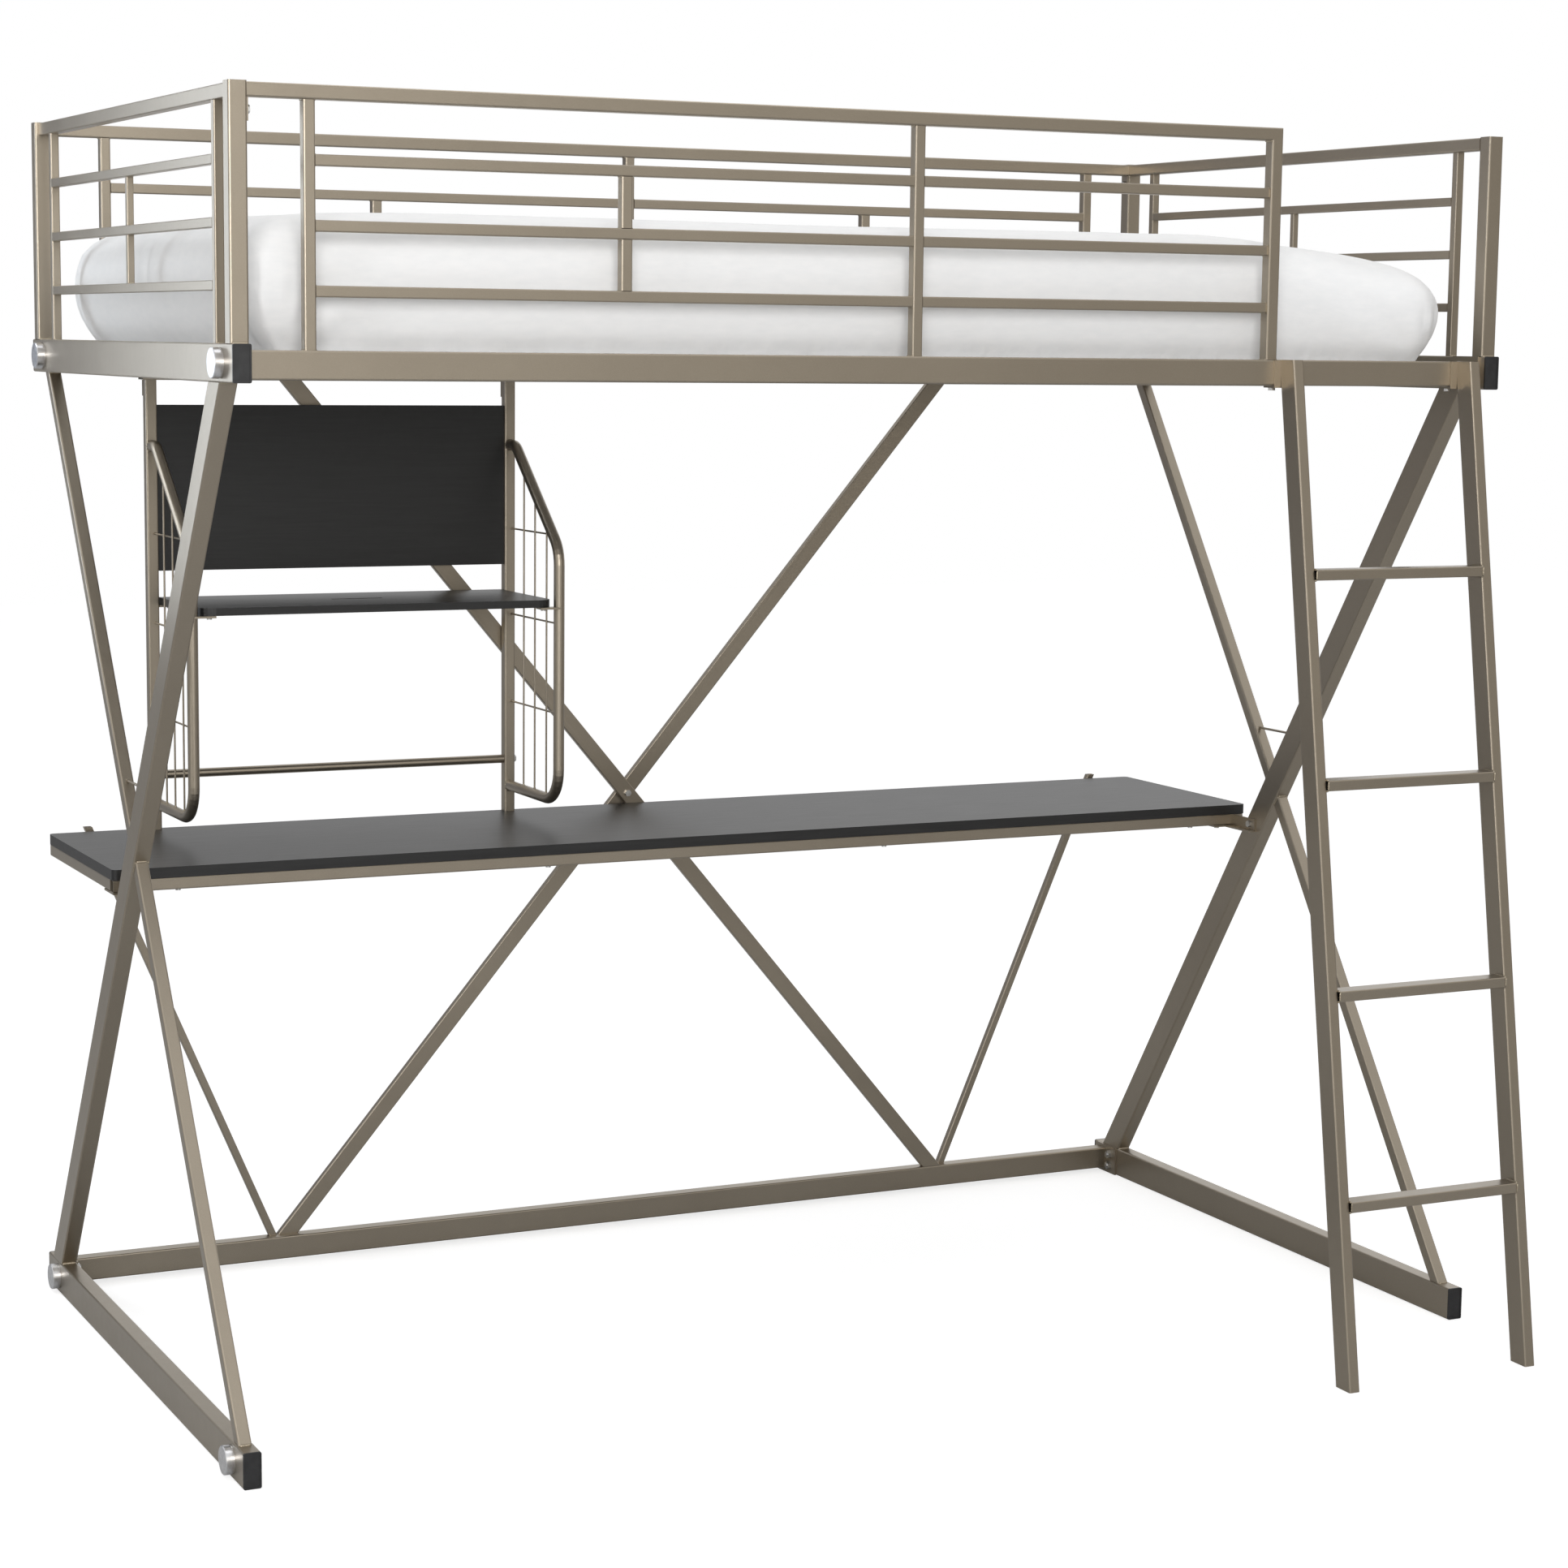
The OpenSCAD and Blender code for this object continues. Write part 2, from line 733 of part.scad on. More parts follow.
// Strut with a lug at its head that reaches the desk's rear rail
module strut() {
  half = strut_size / 2;
  difference() {
    union() {
      intersection() {
        translate([half_l - strut_foot, strut_y + half, stretcher_top]) rotate([0, strut_angle, 0])
          translate([0, 0, -strut_size]) tube(2 * strut_top, strut_size, strut_size, guard_wall);
        block([0, far], [0, far], [stretcher_top, strut_top]);
      }
      block([strut_bolt_x - half, strut_bolt_x + half], [desk_back, strut_y], [tube_under, board_under]);
    }
    at_strut_bolt() drill(m6, strut_size + strut_y - desk_back + past);
  }
}

// ---------- hutch ----------

function heading(a, b) = atan2(b.y - a.y, b.x - a.x);
function turn(a, b, c) = (heading(b, c) - heading(a, b) + 540) % 360 - 180;
function setback(a, b, c, r) = r * tan(abs(turn(a, b, c)) / 2);
function toward(a, b, d) = a + d * (b - a) / norm(b - a);

// Places along a path with rounded corners, each a point and a heading
function bend(a, b, c, r) = let (
    sweep = turn(a, b, c),
    in = heading(a, b),
    side = sign(sweep),
    steps = ceil(abs(sweep) / bend_step),
    centre = toward(b, a, setback(a, b, c, r)) + r * side * [-sin(in), cos(in)])
  [for (k = [0 : steps])
    let (h = in + k * sweep / steps) [centre + r * [cos(h - side * 90), sin(h - side * 90)], h]];

function stations(path, radii) = let (last = len(path) - 1) concat(
  [[path[0], heading(path[0], path[1])]],
  [for (i = [1 : last - 1]) each bend(path[i - 1], path[i], path[i + 1], radii[i - 1])],
  [[path[last], heading(path[last - 1], path[last])]]);

// Bent round tube in the XY plane: an outer and an inner skin, joined by a ring at each end
module bent_tube(places, d, wall) {
  n = tube_sides;
  last = len(places) - 1;
  inner = n * (last + 1);
  skin = [for (r = [d / 2, d / 2 - wall], p = places, j = [0 : n - 1])
    let (t = 360 * j / n)
      [p[0].x - r * cos(t) * sin(p[1]), p[0].y + r * cos(t) * cos(p[1]), r * sin(t)]];
  outside = [for (k = [0 : last - 1], j = [0 : n - 1])
    let (q = (j + 1) % n) [k * n + j, k * n + q, (k + 1) * n + q, (k + 1) * n + j]];
  inside = [for (f = outside) [f[3] + inner, f[2] + inner, f[1] + inner, f[0] + inner]];
  start = [for (j = [0 : n - 1]) let (q = (j + 1) % n) [j, inner + j, inner + q, q]];
  end = [for (f = start) [for (i = [3 : -1 : 0]) f[i] + last * n]];
  polyhedron(skin, concat(outside, inside, start, end));
}

// Side loop's centre line, as depth and height, from the post round to the post
loop_places = stations(
  [[hutch_front, loop_high], [hutch_front - loop_stub, loop_high],
   [loop_front, loop_slope_end], [loop_front, loop_low], [hutch_front, loop_low]],
  [loop_upper_bend, loop_bend, loop_bend]);

module side_loop(x) {
  translate([x, 0, 0]) rotate([90, 0, 90]) bent_tube(loop_places, loop_d, loop_wall);
}

// Wires of one side loop, cut to the loop's inner edge
module side_wires(x) {
  lead = wire_d + weld_gap;
  inset = loop_d / 2 + weld_gap;
  intersection() {
    union() {
      for (y = wire_columns)
        translate([x, hutch_front - y, loop_low]) cylinder(h = loop_high - loop_low, d = wire_d, $fn = 16);
      for (z = wire_rows)
        translate([x + lead, hutch_front - weld_gap, shelf_top + z])
          rotate([90, 0, 0]) cylinder(h = loop_reach, d = wire_d, $fn = 16);
    }
    translate([x - loop_d, 0, 0]) rotate([90, 0, 90]) linear_extrude(2 * loop_d)
      polygon([for (p = loop_places) p[0] + inset * [-sin(p[1]), cos(p[1])]]);
  }
}

// Shelf outline, seen from above: square behind, round in front
function shelf_outline(w) = concat(
  [[w / 2, shelf_back], [-w / 2, shelf_back]],
  corner(shelf_corner - w / 2, shelf_front + shelf_corner, shelf_corner, 180, 6),
  corner(w / 2 - shelf_corner, shelf_front + shelf_corner, shelf_corner, 270, 6));

module shelf_plate() {
  w = hutch_width - 2 * hutch_post - 2 * shelf_gap;
  translate([(hutch_left + hutch_right) / 2, 0, shelf_under]) linear_extrude(panel_t) difference() {
    polygon(shelf_outline(w));
    translate([0, shelf_front + shelf_depth / 2]) square([slot_len, slot_w], center = true);
  }
}

// ---------- ladder ----------

module ladder_rail(x) {
  intersection() {
    translate([x + ladder_rail_w / 2, ladder_face(0), 0]) rotate([-ladder_angle, 0, 0])
      translate([0, ladder_rail_d / 2, -rail_h])
        tube(far / 2, ladder_rail_w, ladder_rail_d, ladder_wall);
    block([x - past, x + ladder_rail_w + past], [-far, ladder_back], [0, side_top]);
  }
}

module ladder_bracket(x) {
  span = [x - bracket_side, x + ladder_rail_w];
  difference() {
    union() {
      block(span, [ladder_back, side_inset], [side_under - plate_t, side_top]);
      block(span, [side_inset, side_back], [side_under - plate_t, side_under]);
    }
    at_ladder_bolts() drill(m6, plate_t + past);
  }
}

// ---------- bed base ----------

module slat_ledge() {
  translate([-ledge_end, side_back, ledge_z]) rotate([90, 0, 90]) linear_extrude(2 * ledge_end)
    polygon([[0, 0], [ledge_w, 0], [ledge_w, ledge_t],
             [ledge_t, ledge_t], [ledge_t, ledge_w], [0, ledge_w]]);
}

// ---------- nodes ----------

module left_end_rail() { color(steel) moved() mirror([1, 0, 0]) end_rail(deck_under); }
module right_end_rail() { color(steel) moved() end_rail(deck_under); }
module left_floor_rail() { color(steel) moved() mirror([1, 0, 0]) end_rail(0); }
module right_floor_rail() { color(steel) moved() end_rail(0); }
module left_posts() { color(steel) moved() mirror([1, 0, 0]) left_post_pair(); }
module right_posts() { color(steel) moved() posts(); }
module left_top_rail() { color(steel) moved() mirror([1, 0, 0]) top_rail(); }
module right_top_rail() { color(steel) moved() top_rail(); }
module left_uprights() { color(steel) moved() mirror([1, 0, 0]) end_uprights(); }
module right_uprights() { color(steel) moved() end_uprights(); }
module left_slats() { color(steel) moved() mirror([1, 0, 0]) end_slats(); }
module right_slats() { color(steel) moved() end_slats(); }
module left_long_leg() { color(steel) moved() mirror([1, 0, 0]) long_leg(); }
module right_long_leg() { color(steel) moved() long_leg(); }
module left_short_legs() { color(steel) moved() mirror([1, 0, 0]) short_legs(); }
module right_short_legs() { color(steel) moved() short_legs(); }
module tie_rods() { color(steel) moved() left_and_right() tie_rod(); }

module end_caps() {
  color(black) moved() left_and_right() front_and_rear() {
    end_cap(0);
    end_cap(deck_under);
  }
}

module bolt_covers() {
  color(bright) moved() left_and_right()
    for (y = [bolt_in, bed_depth - bolt_in], z = [rail_h / 2, deck_under + rail_h / 2])
      translate([half_l, y, z]) bolt_cover();
}

module frame_bolts() {
  color(bright) moved() left_and_right() at_right_frame_bolts()
    bolt(bolt_d, hex_af, bolt_head, rail_w + plate_t + bolt_nut + bolt_tail);
}

module frame_nuts() {
  color(bright) moved() left_and_right() at_right_frame_bolts()
    translate([0, 0, rail_w + plate_t]) difference() {
      cylinder(h = bolt_nut, d = hex_af / cos(30), $fn = 6);
      drill(bolt_d, bolt_nut + past);
    }
}

module front_side_rail() {
  color(steel) moved() difference() {
    side_rail_tube(side_under);
    at_ladder_bolts() drill(m6, plate_t + rail_wall + past);
  }
}

module rear_side_rail() {
  color(steel) moved() difference() {
    translate([0, bed_depth, 0]) mirror([0, 1, 0]) side_rail_tube(side_under);
    at_hanger_rail_bolts() drill(m6, plate_t + rail_wall + past);
  }
}

module rear_stretcher() {
  color(steel) moved() translate([0, bed_depth, 0]) mirror([0, 1, 0]) side_rail_tube(stretcher_z);
}

module flange_plates() {
  color(steel) moved() left_and_right() difference() {
    union() {
      front_and_rear() flange_plate(deck_under);
      translate([0, bed_depth, 0]) mirror([0, 1, 0]) flange_plate(0);
    }
    at_right_frame_bolts() drill(bolt_d, rail_w + plate_t + past);
  }
}

module front_guard_rail() {
  color(steel) moved() difference() {
    tube_x([-post_x, entry_x], [guard_front, guard_back], [guard_under, guard_top], guard_wall);
    mitre(1);
  }
}

module front_guard_entry_post() {
  color(steel) moved() difference() {
    tube_z([entry_in, entry_x], [guard_front, guard_back], [side_top, guard_top], guard_wall);
    mitre(-1);
  }
}

module front_guard_uprights() {
  color(steel) moved() guard_uprights([-outer_upright, 0], front_upright_y);
}

module front_guard_slats() {
  color(steel) moved() {
    guard_slats([bay_left, bay_entry], front_slat_y);
    guard_spindles(-bay_mid, front_slat_y);
  }
}

module rear_guard_rail() {
  color(steel) moved()
    tube_x([-post_x, post_x], [rear_guard, rear_guard + guard_tube], [guard_under, guard_top], guard_wall);
}

module rear_guard_uprights() {
  color(steel) moved()
    guard_uprights([-outer_upright, 0, outer_upright], [rear_guard, rear_guard + upright_size]);
}

module rear_guard_slats() {
  y = [rear_guard, rear_guard + slat_size];
  color(steel) moved() {
    guard_slats([bay_left, bay_right], y);
    for (s = [-1, 1]) guard_spindles(s * bay_mid, y);
  }
}

module guard_tab(y) {
  block([post_x - plate_t, post_x], [y, y + guard_tube], [guard_under - tab_h, guard_under]);
}

module guard_tabs() {
  color(steel) moved() {
    left_and_right() difference() {
      guard_tab(rear_guard);
      at_rear_guard_bolt() drill(m6, plate_t + past);
    }
    mirror([1, 0, 0]) difference() {
      guard_tab(guard_front);
      at_front_guard_bolt() drill(m6, plate_t + past);
    }
  }
}

module front_brace() { color(steel) moved() brace(-1, brace_front); }
module rear_brace() { color(steel) moved() brace(1, brace_front + brace_t); }
module desk_struts() { color(steel) moved() left_and_right() strut(); }

module desk_board() {
  color(laminate) moved() difference() {
    translate([0, (desk_front + desk_back) / 2, board_under])
      linear_extrude(board_t) polygon(rounded(2 * board_x, desk_depth, board_corner, 6));
    for (y = [desk_rail_y + desk_tube / 2, desk_back - desk_tube / 2])
      at_board_screws(y) drill(screw_d, desk_tube + board_t / 2 + past);
  }
}

module desk_front_rail() {
  y = [desk_rail_y, desk_rail_y + desk_tube];
  color(steel) moved() difference() {
    tube_x([-desk_rail_x, desk_rail_x], y, [tube_under, board_under], guard_wall);
    at_board_screws(desk_rail_y + desk_tube / 2) drill(screw_d, desk_tube + past);
    left_and_right() at_bracket_screw() drill(screw_d, plate_t + desk_tube / 2);
  }
}

module desk_rear_rail() {
  x = desk_rail_x - desk_tube;
  color(steel) moved() difference() {
    tube_x([-x, x], [desk_back - desk_tube, desk_back], [tube_under, board_under], guard_wall);
    at_board_screws(desk_back - desk_tube / 2) drill(screw_d, desk_tube + past);
    left_and_right() at_strut_bolt() drill(m6, strut_size + strut_y - desk_back + desk_tube / 2);
  }
}

module desk_end_rails() {
  color(steel) moved() left_and_right()
    tube_y([desk_rail_x - desk_tube, desk_rail_x], [desk_rail_y + desk_tube, desk_back],
           [tube_under, board_under], guard_wall);
}

// Plate under the desk's front corner, with a tongue and an upright flange against the long leg
module desk_brackets() {
  z = tube_under - plate_t;
  color(steel) moved() left_and_right() difference() {
    union() {
      block([inner_x - bracket_reach, desk_rail_x], [desk_rail_y, desk_rail_y + bracket_d], [z, tube_under]);
      block([inner_x - bracket_foot, inner_x], [bracket_y, desk_rail_y], [z, tube_under]);
      block([inner_x - plate_t, inner_x], [bracket_y, desk_rail_y], [z, board_under]);
    }
    at_bracket_bolt() drill(m6, plate_t + past);
    at_bracket_screw() drill(screw_d, plate_t + past);
  }
}

module board_screws() {
  color(bright) moved()
    for (y = [desk_rail_y + desk_tube / 2, desk_back - desk_tube / 2])
      at_board_screws(y) screw(desk_tube + board_t / 2);
}

module small_bolts() {
  color(bright) moved() {
    left_and_right() {
      at_rear_guard_bolt() m6_bolt(plate_t + post_size / 2);
      at_strut_bolt() m6_bolt(strut_size + strut_y - desk_back + desk_tube / 2);
      at_bracket_bolt() m6_bolt(plate_t + rail_w / 2);
      at_bracket_screw() screw(plate_t + desk_tube / 2);
    }
    mirror([1, 0, 0]) at_front_guard_bolt() m6_bolt(plate_t + post_size / 2);
    at_brace_bolt() m6_bolt(2 * brace_t);
    at_hanger_post_bolts() m6_bolt(plate_t + hutch_post / 2);
    at_hanger_rail_bolts() m6_bolt(plate_t + side_h / 2);
    at_crossbar_bolts() m6_bolt(hutch_post + crossbar_bore - hole_play);
    at_ladder_bolts() m6_bolt(plate_t + side_h / 2);
    at_shelf_screws() screw(plate_t + panel_t / 2);
  }
}

module hutch_posts() {
  color(steel) moved() difference() {
    for (x = [hutch_left, hutch_right - hutch_post])
      tube_z([x, x + hutch_post], [hutch_front, rear_face], [desk_height, ledge_z], guard_wall, plate_t);
    at_hanger_post_bolts() drill(m6, plate_t + hutch_post / 2);
    at_crossbar_bolts() drill(m6, hutch_post + past);
  }
}

module hutch_hangers() {
  color(steel) moved() difference() {
    for (x = [hutch_left, hutch_right - hutch_post]) union() {
      block([x, x + hutch_post], [rear_face, rear_face + plate_t], [side_under - hanger_h, side_under]);
      block([x, x + hutch_post], [rear_face + plate_t, rear_face + plate_t + hutch_post],
            [side_under - plate_t, side_under]);
    }
    at_hanger_post_bolts() drill(m6, plate_t + past);
    at_hanger_rail_bolts() drill(m6, plate_t + past);
  }
}

module back_panel() {
  color(laminate) moved()
    block([hutch_left + hutch_post, hutch_right - hutch_post],
          [hutch_front + panel_in, hutch_front + panel_in + panel_t], [panel_under, panel_top]);
}

module shelf() {
  color(laminate) moved() difference() {
    shelf_plate();
    at_shelf_screws() drill(screw_d, plate_t + panel_t / 2 + past);
  }
}

module shelf_tabs() {
  z = [shelf_under - plate_t, shelf_under];
  front = [loop_front - tab_d / 2, loop_front + tab_d / 2];
  back = [hutch_mid_y - tab_d / 2, hutch_mid_y + tab_d / 2];
  reach = hutch_post + tab_w;
  color(steel) moved() difference() {
    union() {
      block([post_axes[0], hutch_left + reach], front, z);
      block([hutch_right - reach, post_axes[1]], front, z);
      block([hutch_left + hutch_post, hutch_left + reach], back, z);
      block([hutch_right - reach, hutch_right - hutch_post], back, z);
    }
    for (x = post_axes)
      translate([x, loop_front, z[0] - past]) cylinder(h = plate_t + 2 * past, d = loop_d + 2 * weld_gap);
    at_shelf_screws() drill(screw_d, plate_t + past);
  }
}

module left_side_loop() { color(steel) moved() side_loop(post_axes[0]); }
module right_side_loop() { color(steel) moved() side_loop(post_axes[1]); }
module loop_wires() { color(steel) moved() for (x = post_axes) side_wires(x); }

module crossbar() {
  color(steel) moved() difference() {
    translate([hutch_left + hutch_post, hutch_mid_y, crossbar_z]) rotate([0, 90, 0])
      cylinder(h = hutch_width - 2 * hutch_post, d = crossbar_d);
    at_crossbar_bolts() drill(m6, hutch_post + crossbar_bore);
  }
}

module ladder_rails() {
  color(steel) moved() {
    ladder_rail(ladder_x);
    ladder_rail(ladder_right - ladder_rail_w);
  }
}

module ladder_rungs() {
  color(steel) moved()
    for (i = [0 : rung_count - 1]) {
      z = side_top - rung_top_drop - i * rung_pitch;
      front = ladder_face(z) - rung_out;
      tube_x([ladder_x + ladder_rail_w, ladder_right - ladder_rail_w], [front, front + rung_d],
             [z - rung_h, z], rung_wall);
    }
}

module ladder_brackets() {
  color(steel) moved() {
    ladder_bracket(ladder_x);
    ladder_bracket(ladder_right - ladder_rail_w);
  }
}

module slat_ledges() { color(steel) moved() front_and_rear() slat_ledge(); }

module bed_slats() {
  pitch = 2 * (inner_x - slat_margin) / (bed_slat_count - 1);
  y = side_back + ledge_t + past;
  color(steel) moved()
    for (i = [0 : bed_slat_count - 1]) {
      x = slat_margin - inner_x + i * pitch;
      tube_y([x - bed_slat_w / 2, x + bed_slat_w / 2], [y, bed_depth - y], [slat_z, slat_top], guard_wall);
    }
}

module centre_beam() {
  y = [mid_y - beam_w / 2, mid_y + beam_w / 2];
  color(steel) moved() tube_x([-inner_x, inner_x], y, [slat_z - beam_h, slat_z], guard_wall);
}

module mattress() {
  w = 2 * (inner_x - mattress_end_gap);
  d = bed_depth - 2 * (side_back + mattress_side_gap);
  color(sheet) moved() translate([0, mid_y, mattress_z])
    linear_extrude(mattress_t) polygon(rounded(w, d, mattress_corner, 6));
}

left_end_rail();
left_posts();
left_top_rail();
left_uprights();
left_slats();
left_long_leg();
left_short_legs();
left_floor_rail();
right_end_rail();
right_posts();
right_top_rail();
right_uprights();
right_slats();
right_long_leg();
right_short_legs();
right_floor_rail();
tie_rods();
end_caps();
bolt_covers();
frame_bolts();
frame_nuts();
front_side_rail();
rear_side_rail();
rear_stretcher();
flange_plates();
front_guard_rail();
front_guard_entry_post();
front_guard_uprights();
front_guard_slats();
rear_guard_rail();
rear_guard_uprights();
rear_guard_slats();
guard_tabs();
front_brace();
rear_brace();
desk_struts();
desk_board();
desk_front_rail();
desk_rear_rail();
desk_end_rails();
desk_brackets();
board_screws();
small_bolts();
hutch_posts();
hutch_hangers();
back_panel();
shelf();
shelf_tabs();
left_side_loop();
right_side_loop();
loop_wires();
crossbar();
ladder_rails();
ladder_rungs();
ladder_brackets();
slat_ledges();
bed_slats();
centre_beam();
mattress();
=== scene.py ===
import json
import math

import bmesh
import bpy
from mathutils import Matrix, Vector, noise


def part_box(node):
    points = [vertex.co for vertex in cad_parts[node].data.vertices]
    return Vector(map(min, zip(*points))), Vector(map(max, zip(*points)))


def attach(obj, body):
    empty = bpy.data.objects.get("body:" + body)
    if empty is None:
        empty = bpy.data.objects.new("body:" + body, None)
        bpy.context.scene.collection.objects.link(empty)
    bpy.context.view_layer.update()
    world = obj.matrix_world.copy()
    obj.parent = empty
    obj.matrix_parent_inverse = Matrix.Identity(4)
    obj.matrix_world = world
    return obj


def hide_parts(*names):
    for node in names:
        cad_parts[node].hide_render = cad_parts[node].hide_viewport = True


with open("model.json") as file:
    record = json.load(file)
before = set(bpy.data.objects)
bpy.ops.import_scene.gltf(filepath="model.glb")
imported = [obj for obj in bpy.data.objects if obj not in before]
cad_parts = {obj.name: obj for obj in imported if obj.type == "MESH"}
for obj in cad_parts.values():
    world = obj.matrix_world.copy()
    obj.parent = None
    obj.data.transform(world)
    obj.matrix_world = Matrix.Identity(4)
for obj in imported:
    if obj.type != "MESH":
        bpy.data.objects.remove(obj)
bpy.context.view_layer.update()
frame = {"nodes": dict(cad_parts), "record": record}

BED = "bed"
TAU = math.tau
X_AXIS, Y_AXIS = 0, 1
ALONG_Y = Vector((0, 1, 0))


# ---------------------------------------------------------------- materials

# the sheet's threads: the scale of their bands and how far they stray from straight
THREAD_SCALE = 520.0
THREAD_WANDER = 0.6


class Finish:
    """A new material with its Principled shader, and short ways to add texture nodes to it."""

    def __init__(self, name, **constants):
        self.material = bpy.data.materials.new(name)
        self.material.use_nodes = True
        tree = self.material.node_tree
        self.nodes, self.links = tree.nodes, tree.links
        self.shader = self.nodes["Principled BSDF"]
        self.place = self.nodes.new("ShaderNodeTexCoord").outputs["Object"]
        for socket, value in constants.items():
            self.shader.inputs[socket.replace("_", " ")].default_value = value

    def height(self):
        node = self.nodes.new("ShaderNodeSeparateXYZ")
        self.links.new(self.place, node.inputs[0])
        return node.outputs["Z"]

    def stretched(self, scale):
        mapping = self.nodes.new("ShaderNodeMapping")
        mapping.inputs["Scale"].default_value = scale
        self.links.new(self.place, mapping.inputs["Vector"])
        return mapping.outputs["Vector"]

    def turned(self, angles, scale):
        mapping = self.stretched(scale).node
        mapping.inputs["Rotation"].default_value = angles
        return mapping.outputs["Vector"]

    def noise(self, scale, detail=2.0, rough=0.5, where=None):
        node = self.nodes.new("ShaderNodeTexNoise")
        node.inputs["Scale"].default_value = scale
        node.inputs["Detail"].default_value = detail
        node.inputs["Roughness"].default_value = rough
        self.links.new(where or self.place, node.inputs["Vector"])
        return node.outputs["Fac"]

    def cells(self, scale):
        node = self.nodes.new("ShaderNodeTexVoronoi")
        node.inputs["Scale"].default_value = scale
        self.links.new(self.place, node.inputs["Vector"])
        return node.outputs["Distance"]

    def threads(self, direction):
        node = self.nodes.new("ShaderNodeTexWave")
        node.bands_direction = direction
        node.inputs["Scale"].default_value = THREAD_SCALE
        node.inputs["Distortion"].default_value = THREAD_WANDER
        self.links.new(self.place, node.inputs["Vector"])
        return node.outputs["Fac"]

    def graded(self, value, *stops):
        ramp = self.nodes.new("ShaderNodeValToRGB")
        elements = ramp.color_ramp.elements
        while len(elements) < len(stops):
            elements.new(0.5)
        for element, (position, colour) in zip(elements, stops):
            element.position = position
            element.color = (*colour, 1.0)
        self.links.new(value, ramp.inputs["Fac"])
        return ramp.outputs["Color"]

    def span(self, value, low, high):
        """0 at the low value, 1 at the high one."""
        node = self.nodes.new("ShaderNodeMapRange")
        node.inputs["From Min"].default_value = low
        node.inputs["From Max"].default_value = high
        self.links.new(value, node.inputs["Value"])
        return node.outputs["Result"]

    def between(self, value, low, high):
        """Spreads a 0 to 1 value over low to high."""
        spread = self.nodes.new("ShaderNodeMapRange")
        spread.inputs["To Min"].default_value = low
        spread.inputs["To Max"].default_value = high
        self.links.new(value, spread.inputs["Value"])
        return spread.outputs["Result"]

    def times(self, one, other):
        node = self.nodes.new("ShaderNodeMix")
        node.data_type = "RGBA"
        node.blend_type = "MULTIPLY"
        node.inputs["Factor"].default_value = 1.0
        self.links.new(one, node.inputs["A"])
        self.links.new(other, node.inputs["B"])
        return node.outputs["Result"]

    def colour(self, value):
        self.links.new(value, self.shader.inputs["Base Color"])

    def roughness(self, value):
        self.links.new(value, self.shader.inputs["Roughness"])

    def relief(self, *layers):
        """Bumps one over the other; each layer is a height, a strength and a depth in metres."""
        under = None
        for height, strength, depth in layers:
            bump = self.nodes.new("ShaderNodeBump")
            bump.inputs["Strength"].default_value = strength
            bump.inputs["Distance"].default_value = depth
            self.links.new(height, bump.inputs["Height"])
            if under:
                self.links.new(under, bump.inputs["Normal"])
            under = bump.outputs["Normal"]
        self.links.new(under, self.shader.inputs["Normal"])


def powder_coat(name, dark, light, rough):
    """Satin metallic powder coat: fine flake, a slight mottle and orange peel."""
    f = Finish(name, Metallic=0.90, Coat_Weight=0.10, Coat_Roughness=0.3)
    mottle = f.noise(5.0, detail=3.0)
    flake = f.cells(1400.0)
    tone = f.graded(mottle, (0.3, dark), (0.7, light))
    speck = f.graded(flake, (0.0, (0.86, 0.86, 0.86)), (0.6, (1.0, 1.0, 1.0)))
    f.colour(f.times(tone, speck))
    f.roughness(f.between(f.noise(60.0, detail=4.0), rough - 0.04, rough + 0.05))
    f.relief((f.noise(900.0), 0.05, 0.0001), (f.noise(30.0, detail=1.0), 0.03, 0.0003))
    return f.material


def black_laminate(name):
    """Black wood-grain laminate, its grain running along the bed."""
    f = Finish(name, IOR=1.5, Specular_IOR_Level=0.5)
    grain = f.stretched((1.2, 26.0, 26.0))
    pores = f.noise(9.0, detail=8.0, rough=0.62, where=grain)
    streaks = f.noise(2.2, detail=4.0, rough=0.55, where=grain)
    tone = f.graded(
        pores, (0.32, (0.0060, 0.0060, 0.0062)), (0.62, (0.0110, 0.0110, 0.0114)))
    shade = f.graded(streaks, (0.3, (0.82, 0.82, 0.82)), (0.7, (1.0, 1.0, 1.0)))
    f.colour(f.times(tone, shade))
    f.roughness(f.between(pores, 0.34, 0.46))
    f.relief((pores, 0.22, 0.0004), (f.noise(900.0), 0.12, 0.0002))
    return f.material


def moulded_plastic(name):
    """Black plastic with the fine texture of its mould."""
    f = Finish(name, IOR=1.48)
    clouds = f.noise(90.0, detail=3.0)
    f.colour(f.graded(clouds, (0.3, (0.010, 0.010, 0.011)), (0.7, (0.018, 0.018, 0.019))))
    f.roughness(f.between(f.noise(240.0), 0.42, 0.55))
    f.relief((f.noise(1500.0), 0.25, 0.0002))
    return f.material


def turned_aluminium(name):
    """Satin aluminium with the fine marks of turning."""
    f = Finish(name, Metallic=1.0)
    marks = f.noise(4.0, detail=4.0, rough=0.6, where=f.stretched((900.0, 40.0, 40.0)))
    f.colour(f.graded(marks, (0.3, (0.52, 0.52, 0.53)), (0.7, (0.74, 0.74, 0.75))))
    f.roughness(f.between(marks, 0.24, 0.36))
    f.relief((marks, 0.10, 0.0002))
    return f.material


def zinc_plate(name):
    """Zinc-plated steel with a faint spangle."""
    f = Finish(name, Metallic=1.0)
    spangle = f.noise(160.0, detail=3.0)
    f.colour(f.graded(spangle, (0.3, (0.46, 0.46, 0.46)), (0.7, (0.62, 0.62, 0.61))))
    f.roughness(f.between(spangle, 0.28, 0.42))
    f.relief((spangle, 0.12, 0.0002))
    return f.material


# the heights between which the pulls of the hem fade out
HEM = (1.480, 1.535)


